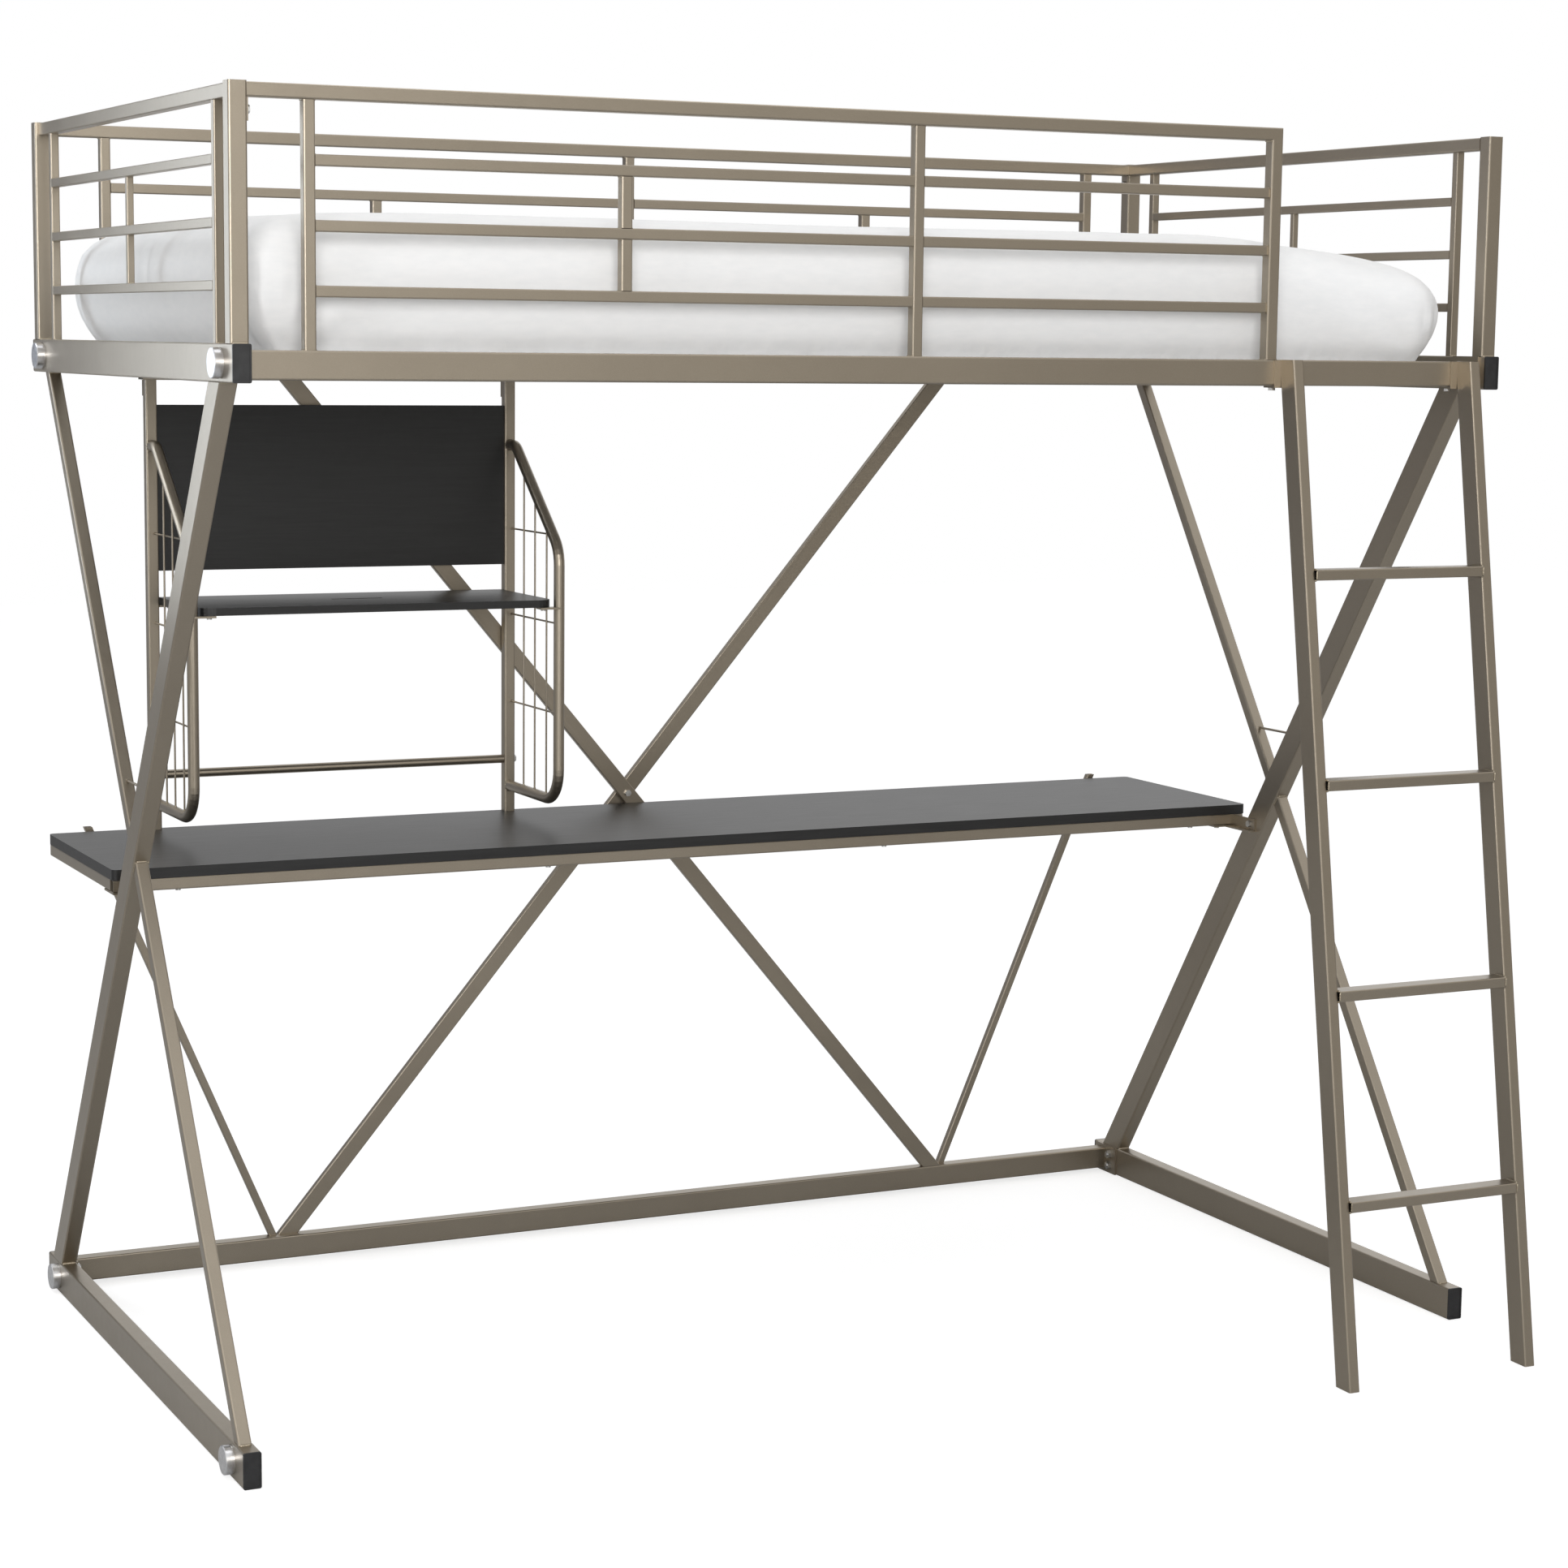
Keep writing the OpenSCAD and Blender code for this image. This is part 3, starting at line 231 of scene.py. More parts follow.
def cotton_sheet(name):
    """White woven cotton: warp and weft, slubs, soft puckers and pulls at the hem."""
    f = Finish(name, Sheen_Weight=0.25, Sheen_Roughness=0.5, Specular_IOR_Level=0.25)
    weave = [(f.threads(direction), 0.10, 0.0002) for direction in "XYZ"]
    slub = f.noise(34.0, detail=4.0, rough=0.6, where=f.stretched((1.0, 1.0, 3.0)))
    pucker = f.noise(7.0, detail=3.0, rough=0.55, where=f.stretched((1.0, 1.0, 0.6)))
    hem = f.graded(f.span(f.height(), *HEM), (0.0, (1.0, 1.0, 1.0)), (1.0, (0.0, 0.0, 0.0)))
    slanted = f.turned((0.0, 0.6, 0.0), (3.2, 3.2, 0.9))
    pulls = f.times(f.noise(13.0, where=slanted), hem)
    f.colour(f.graded(slub, (0.3, (0.86, 0.865, 0.87)), (0.7, (0.90, 0.90, 0.90))))
    f.roughness(f.between(slub, 0.78, 0.9))
    f.relief((pucker, 0.30, 0.006), (pulls, 0.6, 0.008), (slub, 0.08, 0.002), *weave)
    return f.material


STEEL = powder_coat(
    "champagne_powder_coat", dark=(0.318, 0.276, 0.219), light=(0.340, 0.296, 0.235), rough=0.33)
# the welds wear the same coat as the frame; their lighter colour is a painted highlight for the
# light their rounded beads catch, and their rougher surface is real
WELD = powder_coat(
    "coated_weld_painted_highlight", dark=(0.33, 0.285, 0.215), light=(0.40, 0.35, 0.27), rough=0.42)
LAMINATE = black_laminate("black_woodgrain_laminate")
PLUG = moulded_plastic("black_moulded_plug")
COVER = turned_aluminium("turned_aluminium")
ZINC = zinc_plate("zinc_plate")
COTTON = cotton_sheet("white_cotton_sheet")

SLOT_FINISH = {
    "frame_steel": STEEL, "plastic_cap": PLUG, "cover_metal": COVER,
    "fastener": ZINC, "laminate": LAMINATE, "sheet": COTTON,
}


def finish_cad_nodes():
    """Gives every CAD node the finish of its material slot."""
    slots = {s["node"]: s["material_slot"] for s in frame["record"]["subparts"]}
    for name, node in frame["nodes"].items():
        node.data.materials.clear()
        node.data.materials.append(SLOT_FINISH[slots[name]])


# ---------------------------------------------------------------- mesh helpers

MERGE = 1e-6


def smooth(mesh):
    mesh.polygons.foreach_set("use_smooth", [True] * len(mesh.polygons))


def piece(name, bm, finish, body=BED):
    """Makes a finished piece of a bmesh, which it frees."""
    mesh = bpy.data.meshes.new(name)
    bm.to_mesh(mesh)
    bm.free()
    mesh.materials.append(finish)
    smooth(mesh)
    obj = bpy.data.objects.new(name, mesh)
    bpy.context.scene.collection.objects.link(obj)
    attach(obj, body)
    return obj


def merged_copy(node):
    """A CAD node's mesh as a bmesh whose triangles share their corners."""
    bm = bmesh.new()
    bm.from_mesh(frame["nodes"][node].data)
    bmesh.ops.remove_doubles(bm, verts=bm.verts, dist=MERGE)
    return bm


def islands(node):
    """The lowest and highest corner of each solid of a CAD node."""
    bm = merged_copy(node)
    found, seen = [], set()
    for first in bm.verts:
        if first in seen:
            continue
        seen.add(first)
        queue, members = [first], []
        while queue:
            v = queue.pop()
            members.append(v.co.copy())
            for e in v.link_edges:
                w = e.other_vert(v)
                if w not in seen:
                    seen.add(w)
                    queue.append(w)
        found.append((Vector(map(min, zip(*members))), Vector(map(max, zip(*members)))))
    bm.free()
    return sorted(found, key=lambda s: (round(s[0].x, 3), round(s[0].y, 3), round(s[0].z, 3)))


# ---------------------------------------------------------------- weld beads

# length of one ripple of a bead, the share of the radius that it takes, and the mesh along it
RIPPLE = 0.0021
RIPPLE_SHARE = 0.20
RING_STEP = 0.0013
FEWEST_RINGS = 6
FACES_AROUND = 8
# radii of the beads
GUARD_BEAD, TUBE_BEAD, SLAT_BEAD, POST_BEAD = 0.0017, 0.0016, 0.0013, 0.0020
LEG_BEAD, CROSSING_BEAD, RUNG_BEAD = 0.0022, 0.0020, 0.0018
LOOP_BEAD, WIRE_BEAD, ROD_BEAD = 0.0015, 0.0022, 0.0011
# how far a bead stays from the edges of its tube
CLEAR = 0.001


def weld_run(bm, start, end, radius):
    """One rippled bead along a straight line, half of it in the steel."""
    along = end - start
    length = along.length
    along = along / length
    side = along.orthogonal().normalized()
    up = along.cross(side)
    rings = max(FEWEST_RINGS, int(length / RING_STEP))
    made = bmesh.ops.create_grid(bm, x_segments=rings, y_segments=FACES_AROUND, size=0.5)
    wander = noise.noise(start * 90.0) * TAU
    for v in made["verts"]:
        t, a = v.co.x + 0.5, (v.co.y + 0.5) * TAU
        round_off = math.sqrt(max(0.0, 1.0 - (2.0 * t - 1.0) ** 10))
        ripple = abs(math.sin(math.pi * t * length / RIPPLE + wander))
        ripple = 1.0 - RIPPLE_SHARE + RIPPLE_SHARE * ripple
        r = radius * ripple * round_off
        v.co = start + along * (t * length) + (side * math.cos(a) + up * math.sin(a)) * r
    bmesh.ops.remove_doubles(bm, verts=made["verts"], dist=MERGE)


def weld_ring(bm, centre, normal, ring_radius, radius, parts):
    """Short beads in a ring round the end of a bar."""
    side = normal.orthogonal().normalized()
    up = normal.cross(side)
    turns = [k * TAU / parts for k in range(parts + 1)]
    spots = [centre + (side * math.cos(turn) + up * math.sin(turn)) * ring_radius
             for turn in turns]
    for a, b in zip(spots, spots[1:]):
        weld_run(bm, a, b, radius)


def weld_ends(bm, node, across, ends=(0, 1), radius=TUBE_BEAD):
    """Beads where the tubes of a node end, on the two sides that face along the third axis."""
    for low, high in islands(node):
        size = high - low
        long_way = max(range(3), key=lambda i: size[i])
        third = 3 - long_way - across
        for end in ends:
            for s in (low, high):
                start = Vector((0, 0, 0))
                start[long_way] = (low, high)[end][long_way]
                start[third] = s[third]
                stop = start.copy()
                start[across], stop[across] = low[across] + CLEAR, high[across] - CLEAR
                weld_run(bm, start, stop, radius)


def leg_section(node, z):
    """A leg's section at a height: its lowest and highest X, and its lowest and highest Y."""
    cut = merged_copy(node)
    found = bmesh.ops.bisect_plane(
        cut, geom=cut.verts[:] + cut.edges[:] + cut.faces[:],
        plane_co=(0, 0, z), plane_no=(0, 0, 1))
    spots = [v.co.copy() for v in found["geom_cut"] if isinstance(v, bmesh.types.BMVert)]
    cut.free()
    return [(min(s[i] for s in spots), max(s[i] for s in spots)) for i in (0, 1)]


def centre_line(node, low, high):
    """A leg's centre line: a point on it and its direction in the end frame's plane."""
    spots = []
    for z in (low, high):
        x, y = leg_section(node, z)
        spots.append(Vector((sum(x) / 2, sum(y) / 2, z)))
    return spots[0], (spots[1] - spots[0]).normalized()


def weld_across(bm, x, y, z, radius):
    """A bead over a tube's width along X, between its two edges."""
    weld_run(bm, Vector((x[0] + CLEAR, y, z)), Vector((x[1] - CLEAR, y, z)), radius)


# how far from a leg's end its outline is taken
END_CUT = 0.0005


def end_frame_welds():
    """Beads of both end frames: posts, uprights, slats and the ends and crossings of the legs."""
    bm = bmesh.new()
    for side in ("left_", "right_"):
        weld_ends(bm, side + "posts", X_AXIS, ends=(0,), radius=POST_BEAD)
        weld_ends(bm, side + "uprights", X_AXIS, ends=(0,))
        weld_ends(bm, side + "slats", X_AXIS, radius=SLAT_BEAD)
        low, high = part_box(side + "long_leg")
        for leg in ("long_leg", "short_legs"):
            for z, lift in ((low.z, END_CUT), (high.z, -END_CUT)):
                x, y = leg_section(side + leg, z + lift)
                for edge in y:
                    weld_across(bm, x, edge, z, LEG_BEAD)
        crossing_welds(bm, side)
    piece("end_frame_welds", bm, WELD)


# two heights on the long leg that give its centre line, and one on each short leg; a short
# leg whose top is under MID_HEIGHT is the lower one
LONG_LEG_SPAN = (0.30, 1.20)
LOWER_MIDDLE, UPPER_MIDDLE = 0.35, 1.15
MID_HEIGHT = 1.0
# how near a corner is to the short leg's level and to its end face to belong to them
SAME_LEVEL, SAME_FACE = 1e-4, 0.0002


def crossing_welds(bm, side):
    """Beads round the short legs' ends where they meet the long leg's two narrow faces."""
    spot, way = centre_line(side + "long_leg", *LONG_LEG_SPAN)
    for low, high in islands(side + "short_legs"):
        z = LOWER_MIDDLE if high.z < MID_HEIGHT else UPPER_MIDDLE
        _, y = leg_section(side + "short_legs", z)
        start = Vector((spot.x, sum(y) / 2, z))
        off = start - spot - way * (start - spot).dot(way)
        away = off.normalized()
        ends = [v.co for v in frame["nodes"][side + "short_legs"].data.vertices
                if low.z - SAME_LEVEL <= v.co.z <= high.z + SAME_LEVEL]
        reach = min((c - spot).dot(away) for c in ends)
        ends = [c for c in ends if (c - spot).dot(away) < reach + SAME_FACE]
        first, last = (pick(ends, key=lambda c: c.dot(way)) for pick in (min, max))
        for c in (first, last):
            weld_across(bm, (low.x, high.x), c.y, c.z, CROSSING_BEAD)
        for face in (low.x, high.x):
            weld_run(bm, Vector((face, first.y, first.z)), Vector((face, last.y, last.z)),
                     TUBE_BEAD)


def guard_welds():
    """Beads of the front and the rear guard, and of the post at the way in."""
    bm = bmesh.new()
    for node in ("front_guard_uprights", "rear_guard_uprights"):
        weld_ends(bm, node, Y_AXIS)
    for node in ("front_guard_slats", "rear_guard_slats"):
        weld_ends(bm, node, Y_AXIS, radius=SLAT_BEAD)
    weld_ends(bm, "front_guard_entry_post", Y_AXIS, ends=(0,))
    low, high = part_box("front_guard_entry_post")
    under_rail = high.z - (high.x - low.x)
    weld_run(bm, Vector((low.x, low.y, under_rail)), Vector((low.x, high.y, under_rail)),
             GUARD_BEAD)
    piece("guard_welds", bm, WELD)


def ladder_welds():
    """Beads all round both ends of each rung."""
    bm = bmesh.new()
    weld_ends(bm, "ladder_rungs", Y_AXIS, radius=RUNG_BEAD)
    for low, high in islands("ladder_rungs"):
        for x in (low.x, high.x):
            for y in (low.y, high.y):
                weld_run(bm, Vector((x, y, low.z + CLEAR)), Vector((x, y, high.z - CLEAR)),
                         TUBE_BEAD)
    piece("ladder_welds", bm, WELD)


# how far a loop's ring lies before its post and within its tube, and half a wire's weld
RING_FORWARD, RING_WITHIN = 0.0005, 0.0002
WIRE_DOT = 0.0016


def hutch_welds():
    """Rings where the side loops meet the posts, and a dot at each end of each wire."""
    bm = bmesh.new()
    for side in ("left_side_loop", "right_side_loop"):
        low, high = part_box(side)
        x, r = (low.x + high.x) / 2, (high.x - low.x) / 2
        for z in (low.z + r, high.z - r):
            weld_ring(bm, Vector((x, high.y - RING_FORWARD, z)), ALONG_Y, r - RING_WITHIN,
                      LOOP_BEAD, parts=10)
    for low, high in islands("loop_wires"):
        size = high - low
        way = max(range(3), key=lambda i: size[i])
        for end in (low, high):
            spot = (low + high) / 2
            spot[way] = end[way]
            step = Vector((0, 0, 0))
            step[way] = WIRE_DOT
            weld_run(bm, spot - step, spot + step, WIRE_BEAD)
    piece("hutch_welds", bm, WELD)


def tie_rod_welds():
    """A small ring at each end of each tie rod."""
    bm = bmesh.new()
    for low, high in islands("tie_rods"):
        centre = (low + high) / 2
        for y in (low.y + CLEAR, high.y - CLEAR):
            weld_ring(bm, Vector((centre.x, y, centre.z)), ALONG_Y, (high.z - low.z) / 2,
                      ROD_BEAD, parts=6)
    piece("tie_rod_welds", bm, WELD)


# ---------------------------------------------------------------- mattress

# the block's rounding: corners seen from above by end (-1 left, 1 right), and its two rims
CORNER_RADII = ((-1, 0.046), (1, 0.072))
TOP_RIM, BOTTOM_RIM = 0.060, 0.040
CORNER_SEGMENTS, RIM_SEGMENTS = 10, 7
# how far the block starts inside its space (past it at the two ends, inside it at the long
# sides), and the room left over it for its crown
DRAWN_IN = Vector((-0.003, 0.004, 0.0))
CROWN_ROOM = Vector((0.0, 0.0, 0.009))
# how far the fabric may stand out of the mattress's space
FABRIC_ROOM = Vector((0.006, 0.006, 0.004))
# size of the even mesh that swells, and how far a point of it may move
VOXEL = 0.016
SWELL_CAP = 0.010
SWELL_FRAMES = 20
HELD_HEIGHT = 0.012


def select_only(obj):
    for other in bpy.context.selected_objects:
        other.select_set(False)
    obj.select_set(True)
    bpy.context.view_layer.objects.active = obj


def apply_all(obj):
    select_only(obj)
    for modifier in list(obj.modifiers):
        bpy.ops.object.modifier_apply(modifier=modifier.name)


def mattress_block(low, high):
    """The mattress before it swells: rounded in plan, its top rim rounder than its bottom one."""
    bm = bmesh.new()
    size, centre = high - low, (low + high) / 2
    bmesh.ops.create_cube(
        bm, size=1.0, matrix=Matrix.Translation(centre) @ Matrix.Diagonal((*size, 1.0)))
    for way, radius in CORNER_RADII:
        corners = [e for e in bm.edges if abs(e.verts[0].co.z - e.verts[1].co.z) > 0.1
                   and way * (e.verts[0].co.x - centre.x) > size.x / 2 - 1e-4]
        bmesh.ops.bevel(bm, geom=corners, offset=radius, offset_type="OFFSET",
                        segments=CORNER_SEGMENTS, profile=0.5, affect="EDGES", material=-1)
    for level, radius in ((high.z, TOP_RIM), (low.z, BOTTOM_RIM)):
        rim = [e for e in bm.edges
               if all(abs(v.co.z - level) < 1e-5 for v in e.verts) and len(e.link_faces) == 2
               and any(abs(f.normal.z) < 0.5 for f in e.link_faces)]
        bmesh.ops.bevel(bm, geom=rim, offset=radius, offset_type="OFFSET",
                        segments=RIM_SEGMENTS, profile=0.5, affect="EDGES", material=-1)
    bmesh.ops.recalc_face_normals(bm, faces=bm.faces)
    return bm


# how far each end sinks at its corners and how far in that starts: the left end, the right end
SINK = ((0.018, 0.32), (0.056, 0.42))
# how far in from the long sides the corners' sinking and the rim's droop start
CORNER_REACH = 0.40
RIM_DROOP, RIM_REACH = 0.006, 0.16
# how far the sides draw in at the bottom, the share of it on the long sides, and where it starts
TUCK, LONG_SIDE_TUCK, TUCK_TOP = 0.044, 0.55, 0.60


def soften(low, high, co):
    """Droop of the ends and corners, and the sides that draw in below their widest line."""
    centre, half = (low + high) / 2, (high - low) / 2
    u, v = co.x - centre.x, co.y - centre.y
    h = (co.z - low.z) / (2 * half.z)
    from_end, from_side = half.x - abs(u), half.y - abs(v)
    sink, reach = SINK[u > 0]
    slope = max(0.0, 1.0 - from_end / reach) ** 1.6
    corner = max(0.0, 1.0 - from_side / CORNER_REACH)
    rim = max(0.0, 1.0 - from_side / RIM_REACH)
    drop = sink * slope * (0.35 + 0.65 * corner) + RIM_DROOP * rim ** 2
    tuck = TUCK * max(0.0, 1.0 - h / TUCK_TOP) ** 2
    return Vector((
        co.x - math.copysign(tuck * min(1.0, abs(u) / half.x) ** 8, u),
        co.y - math.copysign(tuck * LONG_SIDE_TUCK * min(1.0, abs(v) / half.y) ** 8, v),
        co.z - drop * max(0.0, h) ** 1.2))


def bell(distance, width):
    return math.exp(-(distance / width) ** 2)


def ramp(value):
    return min(1.0, max(0.0, value))


# folds that fan out from the bottom corners: how far in from the mattress's sides they start,
# their depth, how close they follow each other, how fast they fade and where they end
FAN_INSET = 0.035
FAN_DEPTH, FAN_FOLDS, FAN_WIDTH, FAN_REACH = 0.0030, 13.0, 0.19, 0.45
# short pulls along the hem: depth, and the height over which they fade
PULL_DEPTH, PULL_HEIGHT = 0.0026, 0.035
# the crease at the left end: its distance from the front, its depth and width, and the
# ridge beside it; it starts above a height and bends to the front above another
CREASE_PLACE, CREASE_DEPTH, CREASE_WIDTH = 0.585, 0.0050, 0.012
RIDGE_OFFSET, RIDGE_HEIGHT, RIDGE_WIDTH = 0.03, 0.0022, 0.02
CREASE_START, CREASE_FADE = 0.10, 0.03
BEND_START, BEND_RISE, BEND = 0.13, 0.07, 0.09
# the slow unevenness of the stuffing, coarse and fine
COARSE, FINE = 0.0026, 0.0014
FINE_SEED = Vector((4, 1, 7))


def corner_fans(centre, half, low, co, height, side):
    depth = 0.0
    for sx in (-1, 1):
        for sy in (-1, 1):
            corner = Vector((centre.x + sx * (half.x - FAN_INSET),
                             centre.y + sy * (half.y - FAN_INSET), low.z))
            run = (co.xy - corner.xy).length
            reach = math.hypot(run, height)
            if reach > FAN_REACH:
                continue
            turn = math.atan2(height, run)
            way = 1.0 if abs(co.x - corner.x) > abs(co.y - corner.y) else -1.0
            wander = 1.2 * noise.noise(co * 9.0)
            wave = math.cos(turn * FAN_FOLDS + way * 1.7 + sx * 0.9 + sy * 2.1 + wander)
            start = ramp((reach - 0.03) / 0.05)
            depth += FAN_DEPTH * wave * start * bell(reach, FAN_WIDTH) * side
    return depth


def puckers(low, high, co, normal):
    """How far the fitted sheet stands out at a point: fans from the bottom corners, short
    pulls along the hem, a crease at the left end and a slow unevenness."""
    centre, half = (low + high) / 2, (high - low) / 2
    side = 1.0 - min(1.0, abs(normal.z) * 1.4)
    height = co.z - low.z
    depth = corner_fans(centre, half, low, co, height, side)
    pull = noise.noise(Vector((co.x * 16.0 + height * 9.0, co.y * 16.0, height * 5.0)))
    depth += PULL_DEPTH * pull * math.exp(-height / PULL_HEIGHT) * side
    if co.x - centre.x + half.x * 0.9 < 0:
        bend = BEND * max(0.0, (height - BEND_START) / BEND_RISE) ** 2
        lean = co.y - low.y - CREASE_PLACE + bend
        start = ramp((height - CREASE_START) / CREASE_FADE)
        depth -= CREASE_DEPTH * bell(lean, CREASE_WIDTH) * start * side
        depth += RIDGE_HEIGHT * bell(lean + RIDGE_OFFSET, RIDGE_WIDTH) * start * side
    fine = Vector((co.x * 7.0, co.y * 7.0, co.z * 3.0)) + FINE_SEED
    broad = noise.noise(co * 3.1) * COARSE + noise.noise(fine) * FINE
    return depth + broad * (0.4 + 0.6 * side)


def swell(obj, low):
    """Cloth under slight pressure, held at its underside; no point moves past the cap."""
    rest = [v.co.copy() for v in obj.data.vertices]
    group = obj.vertex_groups.new(name="held")
    for v in obj.data.vertices:
        if v.co.z < low.z + HELD_HEIGHT:
            group.add([v.index], 1.0, "REPLACE")
    cloth = obj.modifiers.new("cloth", "CLOTH")
    s = cloth.settings
    s.quality = 4
    s.mass = 0.25
    s.tension_stiffness = s.compression_stiffness = 12.0
    s.shear_stiffness = 6.0
    s.bending_stiffness = 1.5
    s.use_pressure = True
    s.uniform_pressure_force = 4.0
    s.vertex_group_mass = group.name
    s.effector_weights.gravity = 0.0
    s.shrink_min = -0.012
    cloth.collision_settings.use_collision = False
    cloth.point_cache.frame_start, cloth.point_cache.frame_end = 1, SWELL_FRAMES
    scene = bpy.context.scene
    for n in range(1, SWELL_FRAMES + 1):
        scene.frame_set(n)
    apply_all(obj)
    scene.frame_set(1)
    for v, start in zip(obj.data.vertices, rest):
        move = v.co - start
        if move.length > SWELL_CAP:
            v.co = start + move * (SWELL_CAP / move.length)


def sheeted_mattress():
    """The mattress in its fitted sheet, which stands for the plain CAD block."""
    low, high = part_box("mattress")
    small_low, small_high = low + DRAWN_IN, high - DRAWN_IN - CROWN_ROOM
    bm = mattress_block(small_low, small_high)
    obj = piece("mattress_in_sheet", bm, COTTON, body="mattress")
    remesh = obj.modifiers.new("even", "REMESH")
    remesh.mode = "VOXEL"
    remesh.voxel_size = VOXEL
    apply_all(obj)
    for v in obj.data.vertices:
        v.co = soften(small_low, small_high, v.co)
    swell(obj, small_low)
    finer = obj.modifiers.new("round", "SUBSURF")
    finer.levels = finer.render_levels = 1
    apply_all(obj)
    least = Vector((low.x - FABRIC_ROOM.x, low.y - FABRIC_ROOM.y, low.z))
    most = high + FABRIC_ROOM
    normals = [v.normal.copy() for v in obj.data.vertices]
    for v, normal in zip(obj.data.vertices, normals):
        v.co += normal * puckers(small_low, small_high, v.co, normal)
        v.co = Vector(min(max(c, a), b) for c, a, b in zip(v.co, least, most))
    obj.data.update()
    smooth(obj.data)
    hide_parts("mattress")


# ---------------------------------------------------------------- studio

FLOOR_HALF = 14.0
FLOOR_COLOUR = (0.62, 0.62, 0.62, 1)
FLOOR_GLOW = 0.66
# just under the feet, so that the two surfaces don't coincide
FLOOR_LEVEL = -0.0006


def seen_straight(nodes, links):
    """The light path, and 1 for a ray from the camera or through glass, 0 for any other."""
    path = nodes.new("ShaderNodeLightPath")
    seen = nodes.new("ShaderNodeMath")
    seen.operation = "MAXIMUM"
    links.new(path.outputs["Is Camera Ray"], seen.inputs[0])
    links.new(path.outputs["Is Transmission Ray"], seen.inputs[1])
    return path, seen.outputs[0]


def floor():
    """A pale floor that glows to white where it is seen straight and keeps its shadow."""
    bm = bmesh.new()
    bmesh.ops.create_grid(bm, x_segments=1, y_segments=1, size=FLOOR_HALF)
    mesh = bpy.data.meshes.new("floor")
    bm.to_mesh(mesh)
    bm.free()
    obj = bpy.data.objects.new("floor", mesh)
    obj.location.z = FLOOR_LEVEL
    bpy.context.scene.collection.objects.link(obj)
    material = bpy.data.materials.new("pale_floor")
    material.use_nodes = True
    nodes, links = material.node_tree.nodes, material.node_tree.links
    nodes.clear()
    out = nodes.new("ShaderNodeOutputMaterial")
    matte = nodes.new("ShaderNodeBsdfDiffuse")
    matte.inputs["Color"].default_value = FLOOR_COLOUR
    glow = nodes.new("ShaderNodeEmission")
    glow.inputs["Strength"].default_value = FLOOR_GLOW
    both = nodes.new("ShaderNodeAddShader")
    links.new(matte.outputs[0], both.inputs[0])
    links.new(glow.outputs[0], both.inputs[1])
    _, seen = seen_straight(nodes, links)
    mix = nodes.new("ShaderNodeMixShader")
    links.new(seen, mix.inputs[0])
    links.new(matte.outputs[0], mix.inputs[1])
    links.new(both.outputs[0], mix.inputs[2])
    links.new(mix.outputs[0], out.inputs["Surface"])
    mesh.materials.append(material)


ROOM_LIGHT = 0.55
# what a glossy surface mirrors of the room, by the mirrored direction: its front half is
# shaded from the left to the right over FRONT_SPAN of X, its back half from the right to the
# left over BACK_SPAN, the two meet over HALVES_SPAN of Y, and over CEILING_SPAN of Z both
# turn white
MIRRORED = 1.0
FRONT_SPAN, BACK_SPAN = (0.25, 0.80), (0.6, -0.6)
HALVES_SPAN, CEILING_SPAN = (-0.15, 0.25), (0.12, 0.75)
FRONT_SHADES = (
    (0.0, (1.0, 0.98, 0.93)), (0.05, (1.0, 0.97, 0.92)),
    (0.16, (0.72, 0.69, 0.64)), (1.0, (0.38, 0.35, 0.31)))
BACK_SHADES = (
    (0.0, (1.0, 1.0, 1.0)), (0.40, (0.50, 0.50, 0.50)), (0.62, (0.06, 0.06, 0.07)),
    (0.85, (0.10, 0.10, 0.12)), (1.0, (0.42, 0.42, 0.45)))


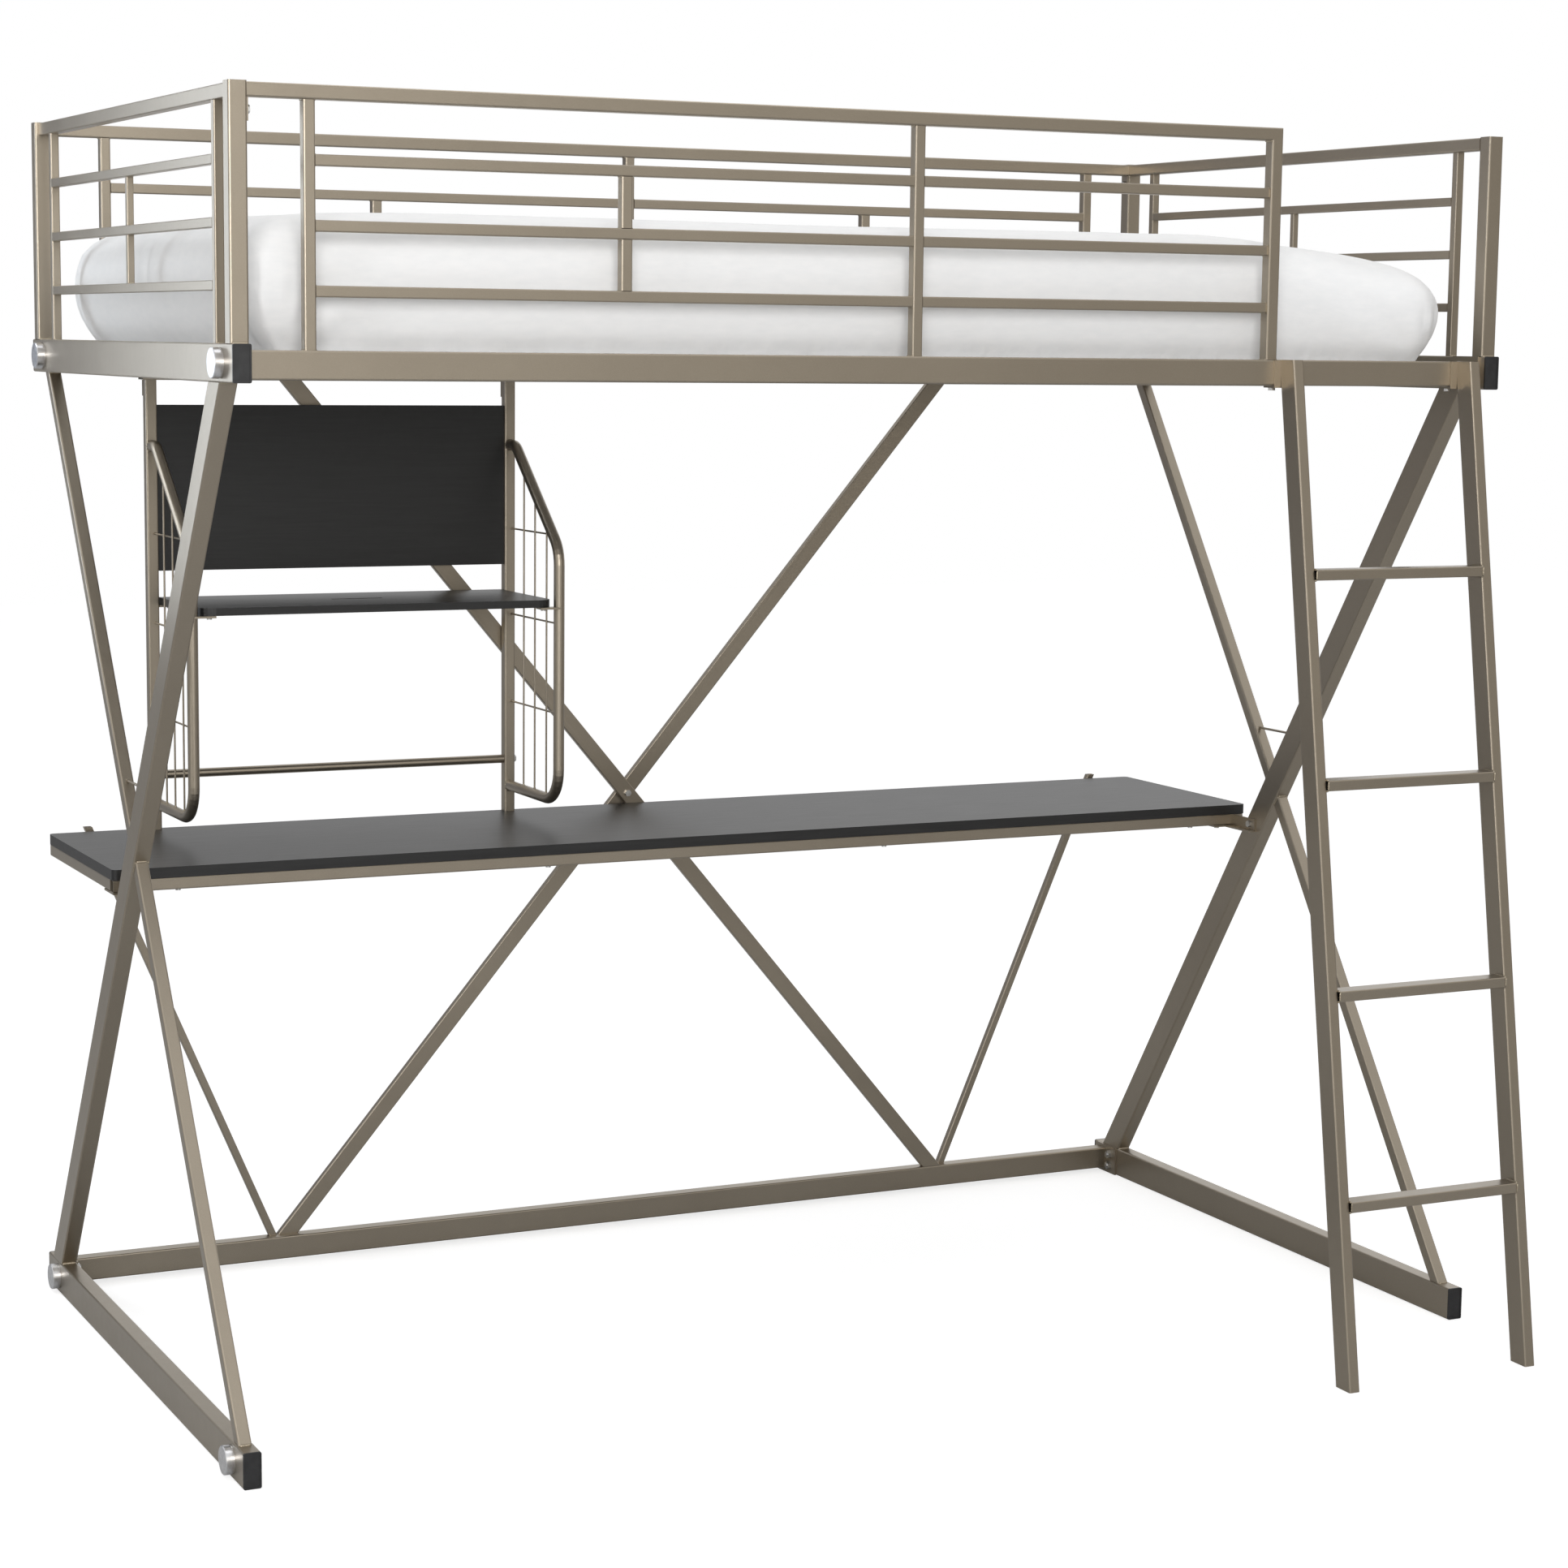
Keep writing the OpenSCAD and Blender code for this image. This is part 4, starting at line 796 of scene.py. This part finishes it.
def room():
    """A white studio whose mirrored side has shades of its own, fixed in the room."""
    world = bpy.data.worlds.new("studio")
    bpy.context.scene.world = world
    world.use_nodes = True
    nodes, links = world.node_tree.nodes, world.node_tree.links
    nodes.clear()

    def background(strength):
        node = nodes.new("ShaderNodeBackground")
        node.inputs["Color"].default_value = (1, 1, 1, 1)
        node.inputs["Strength"].default_value = strength
        return node

    def span(value, low, high):
        node = nodes.new("ShaderNodeMapRange")
        node.interpolation_type = "SMOOTHSTEP"
        node.inputs["From Min"].default_value = low
        node.inputs["From Max"].default_value = high
        links.new(value, node.inputs["Value"])
        return node.outputs["Result"]

    def mixed(share, one, other):
        node = nodes.new("ShaderNodeMixShader")
        links.new(share, node.inputs[0])
        links.new(one.outputs[0], node.inputs[1])
        links.new(other.outputs[0], node.inputs[2])
        return node

    way = nodes.new("ShaderNodeSeparateXYZ")
    links.new(nodes.new("ShaderNodeTexCoord").outputs["Generated"], way.inputs[0])

    def shades(value, stops):
        ramp = nodes.new("ShaderNodeValToRGB")
        elements = ramp.color_ramp.elements
        while len(elements) < len(stops):
            elements.new(0.5)
        for element, (position, colour) in zip(elements, stops):
            element.position, element.color = position, (*colour, 1.0)
        links.new(value, ramp.inputs["Fac"])
        return ramp.outputs["Color"]

    def blend(share, one, other):
        node = nodes.new("ShaderNodeMix")
        node.data_type = "RGBA"
        links.new(share, node.inputs["Factor"])
        links.new(one, node.inputs["A"])
        links.new(other, node.inputs["B"])
        return node.outputs["Result"]

    front = shades(span(way.outputs["X"], *FRONT_SPAN), FRONT_SHADES)
    back = shades(span(way.outputs["X"], *BACK_SPAN), BACK_SHADES)
    walls = blend(span(way.outputs["Y"], *HALVES_SPAN), front, back)
    white = nodes.new("ShaderNodeRGB")
    white.outputs[0].default_value = (1, 1, 1, 1)
    seen_room = blend(span(way.outputs["Z"], *CEILING_SPAN), walls, white.outputs[0])
    mirrored = background(MIRRORED)
    links.new(seen_room, mirrored.inputs["Color"])

    path, seen = seen_straight(nodes, links)
    metal = mixed(path.outputs["Is Glossy Ray"], background(ROOM_LIGHT), mirrored)
    both = mixed(seen, metal, background(1.0))
    links.new(both.outputs[0], nodes.new("ShaderNodeOutputWorld").inputs["Surface"])


def softbox(name, place, target, width, height, power, colour=(1.0, 1.0, 1.0)):
    lamp = bpy.data.lights.new(name, "AREA")
    lamp.shape = "RECTANGLE"
    lamp.size, lamp.size_y = width, height
    lamp.energy, lamp.color = power, colour
    obj = bpy.data.objects.new(name, lamp)
    obj.location = place
    obj.rotation_euler = (Vector(target) - Vector(place)).to_track_quat("-Z", "Y").to_euler()
    bpy.context.scene.collection.objects.link(obj)


def lights():
    softbox("key", place=(-2.2, -5.6, 2.6), target=(0.4, 0.0, 1.3),
            width=3.6, height=2.2, power=175)
    softbox("end_light", place=(-1.72, 1.25, 1.8), target=(-1.0, -0.5, 1.4),
            width=0.45, height=1.6, power=9, colour=(0.84, 0.92, 1.0))
    softbox("edge_light", place=(-4.4, -1.9, 1.8), target=(-1.0, -0.3, 1.4),
            width=0.5, height=2.4, power=14)
    softbox("top_light", place=(0.2, -0.6, 4.6), target=(0.0, 0.0, 1.0),
            width=3.6, height=2.2, power=32)


LENS, SENSOR = 76.929, 36.0
CAMERA_PLACE = (-2.2152, -4.5701, 1.5208)
# heading, pitch and roll in degrees
CAMERA_TURN = (-25.791, 82.424, 0.686)


def camera():
    data = bpy.data.cameras.new("camera")
    data.lens = LENS
    data.sensor_width = SENSOR
    obj = bpy.data.objects.new("camera", data)
    heading, pitch, roll = (math.radians(angle) for angle in CAMERA_TURN)
    obj.matrix_world = (
        Matrix.Translation(CAMERA_PLACE) @ Matrix.Rotation(heading, 4, "Z")
        @ Matrix.Rotation(pitch, 4, "X") @ Matrix.Rotation(roll, 4, "Z"))
    bpy.context.scene.collection.objects.link(obj)
    bpy.context.scene.camera = obj


bpy.context.scene.view_settings.view_transform = "Standard"
camera()
room()
lights()
floor()
finish_cad_nodes()
end_frame_welds()
guard_welds()
ladder_welds()
hutch_welds()
tie_rod_welds()
sheeted_mattress()
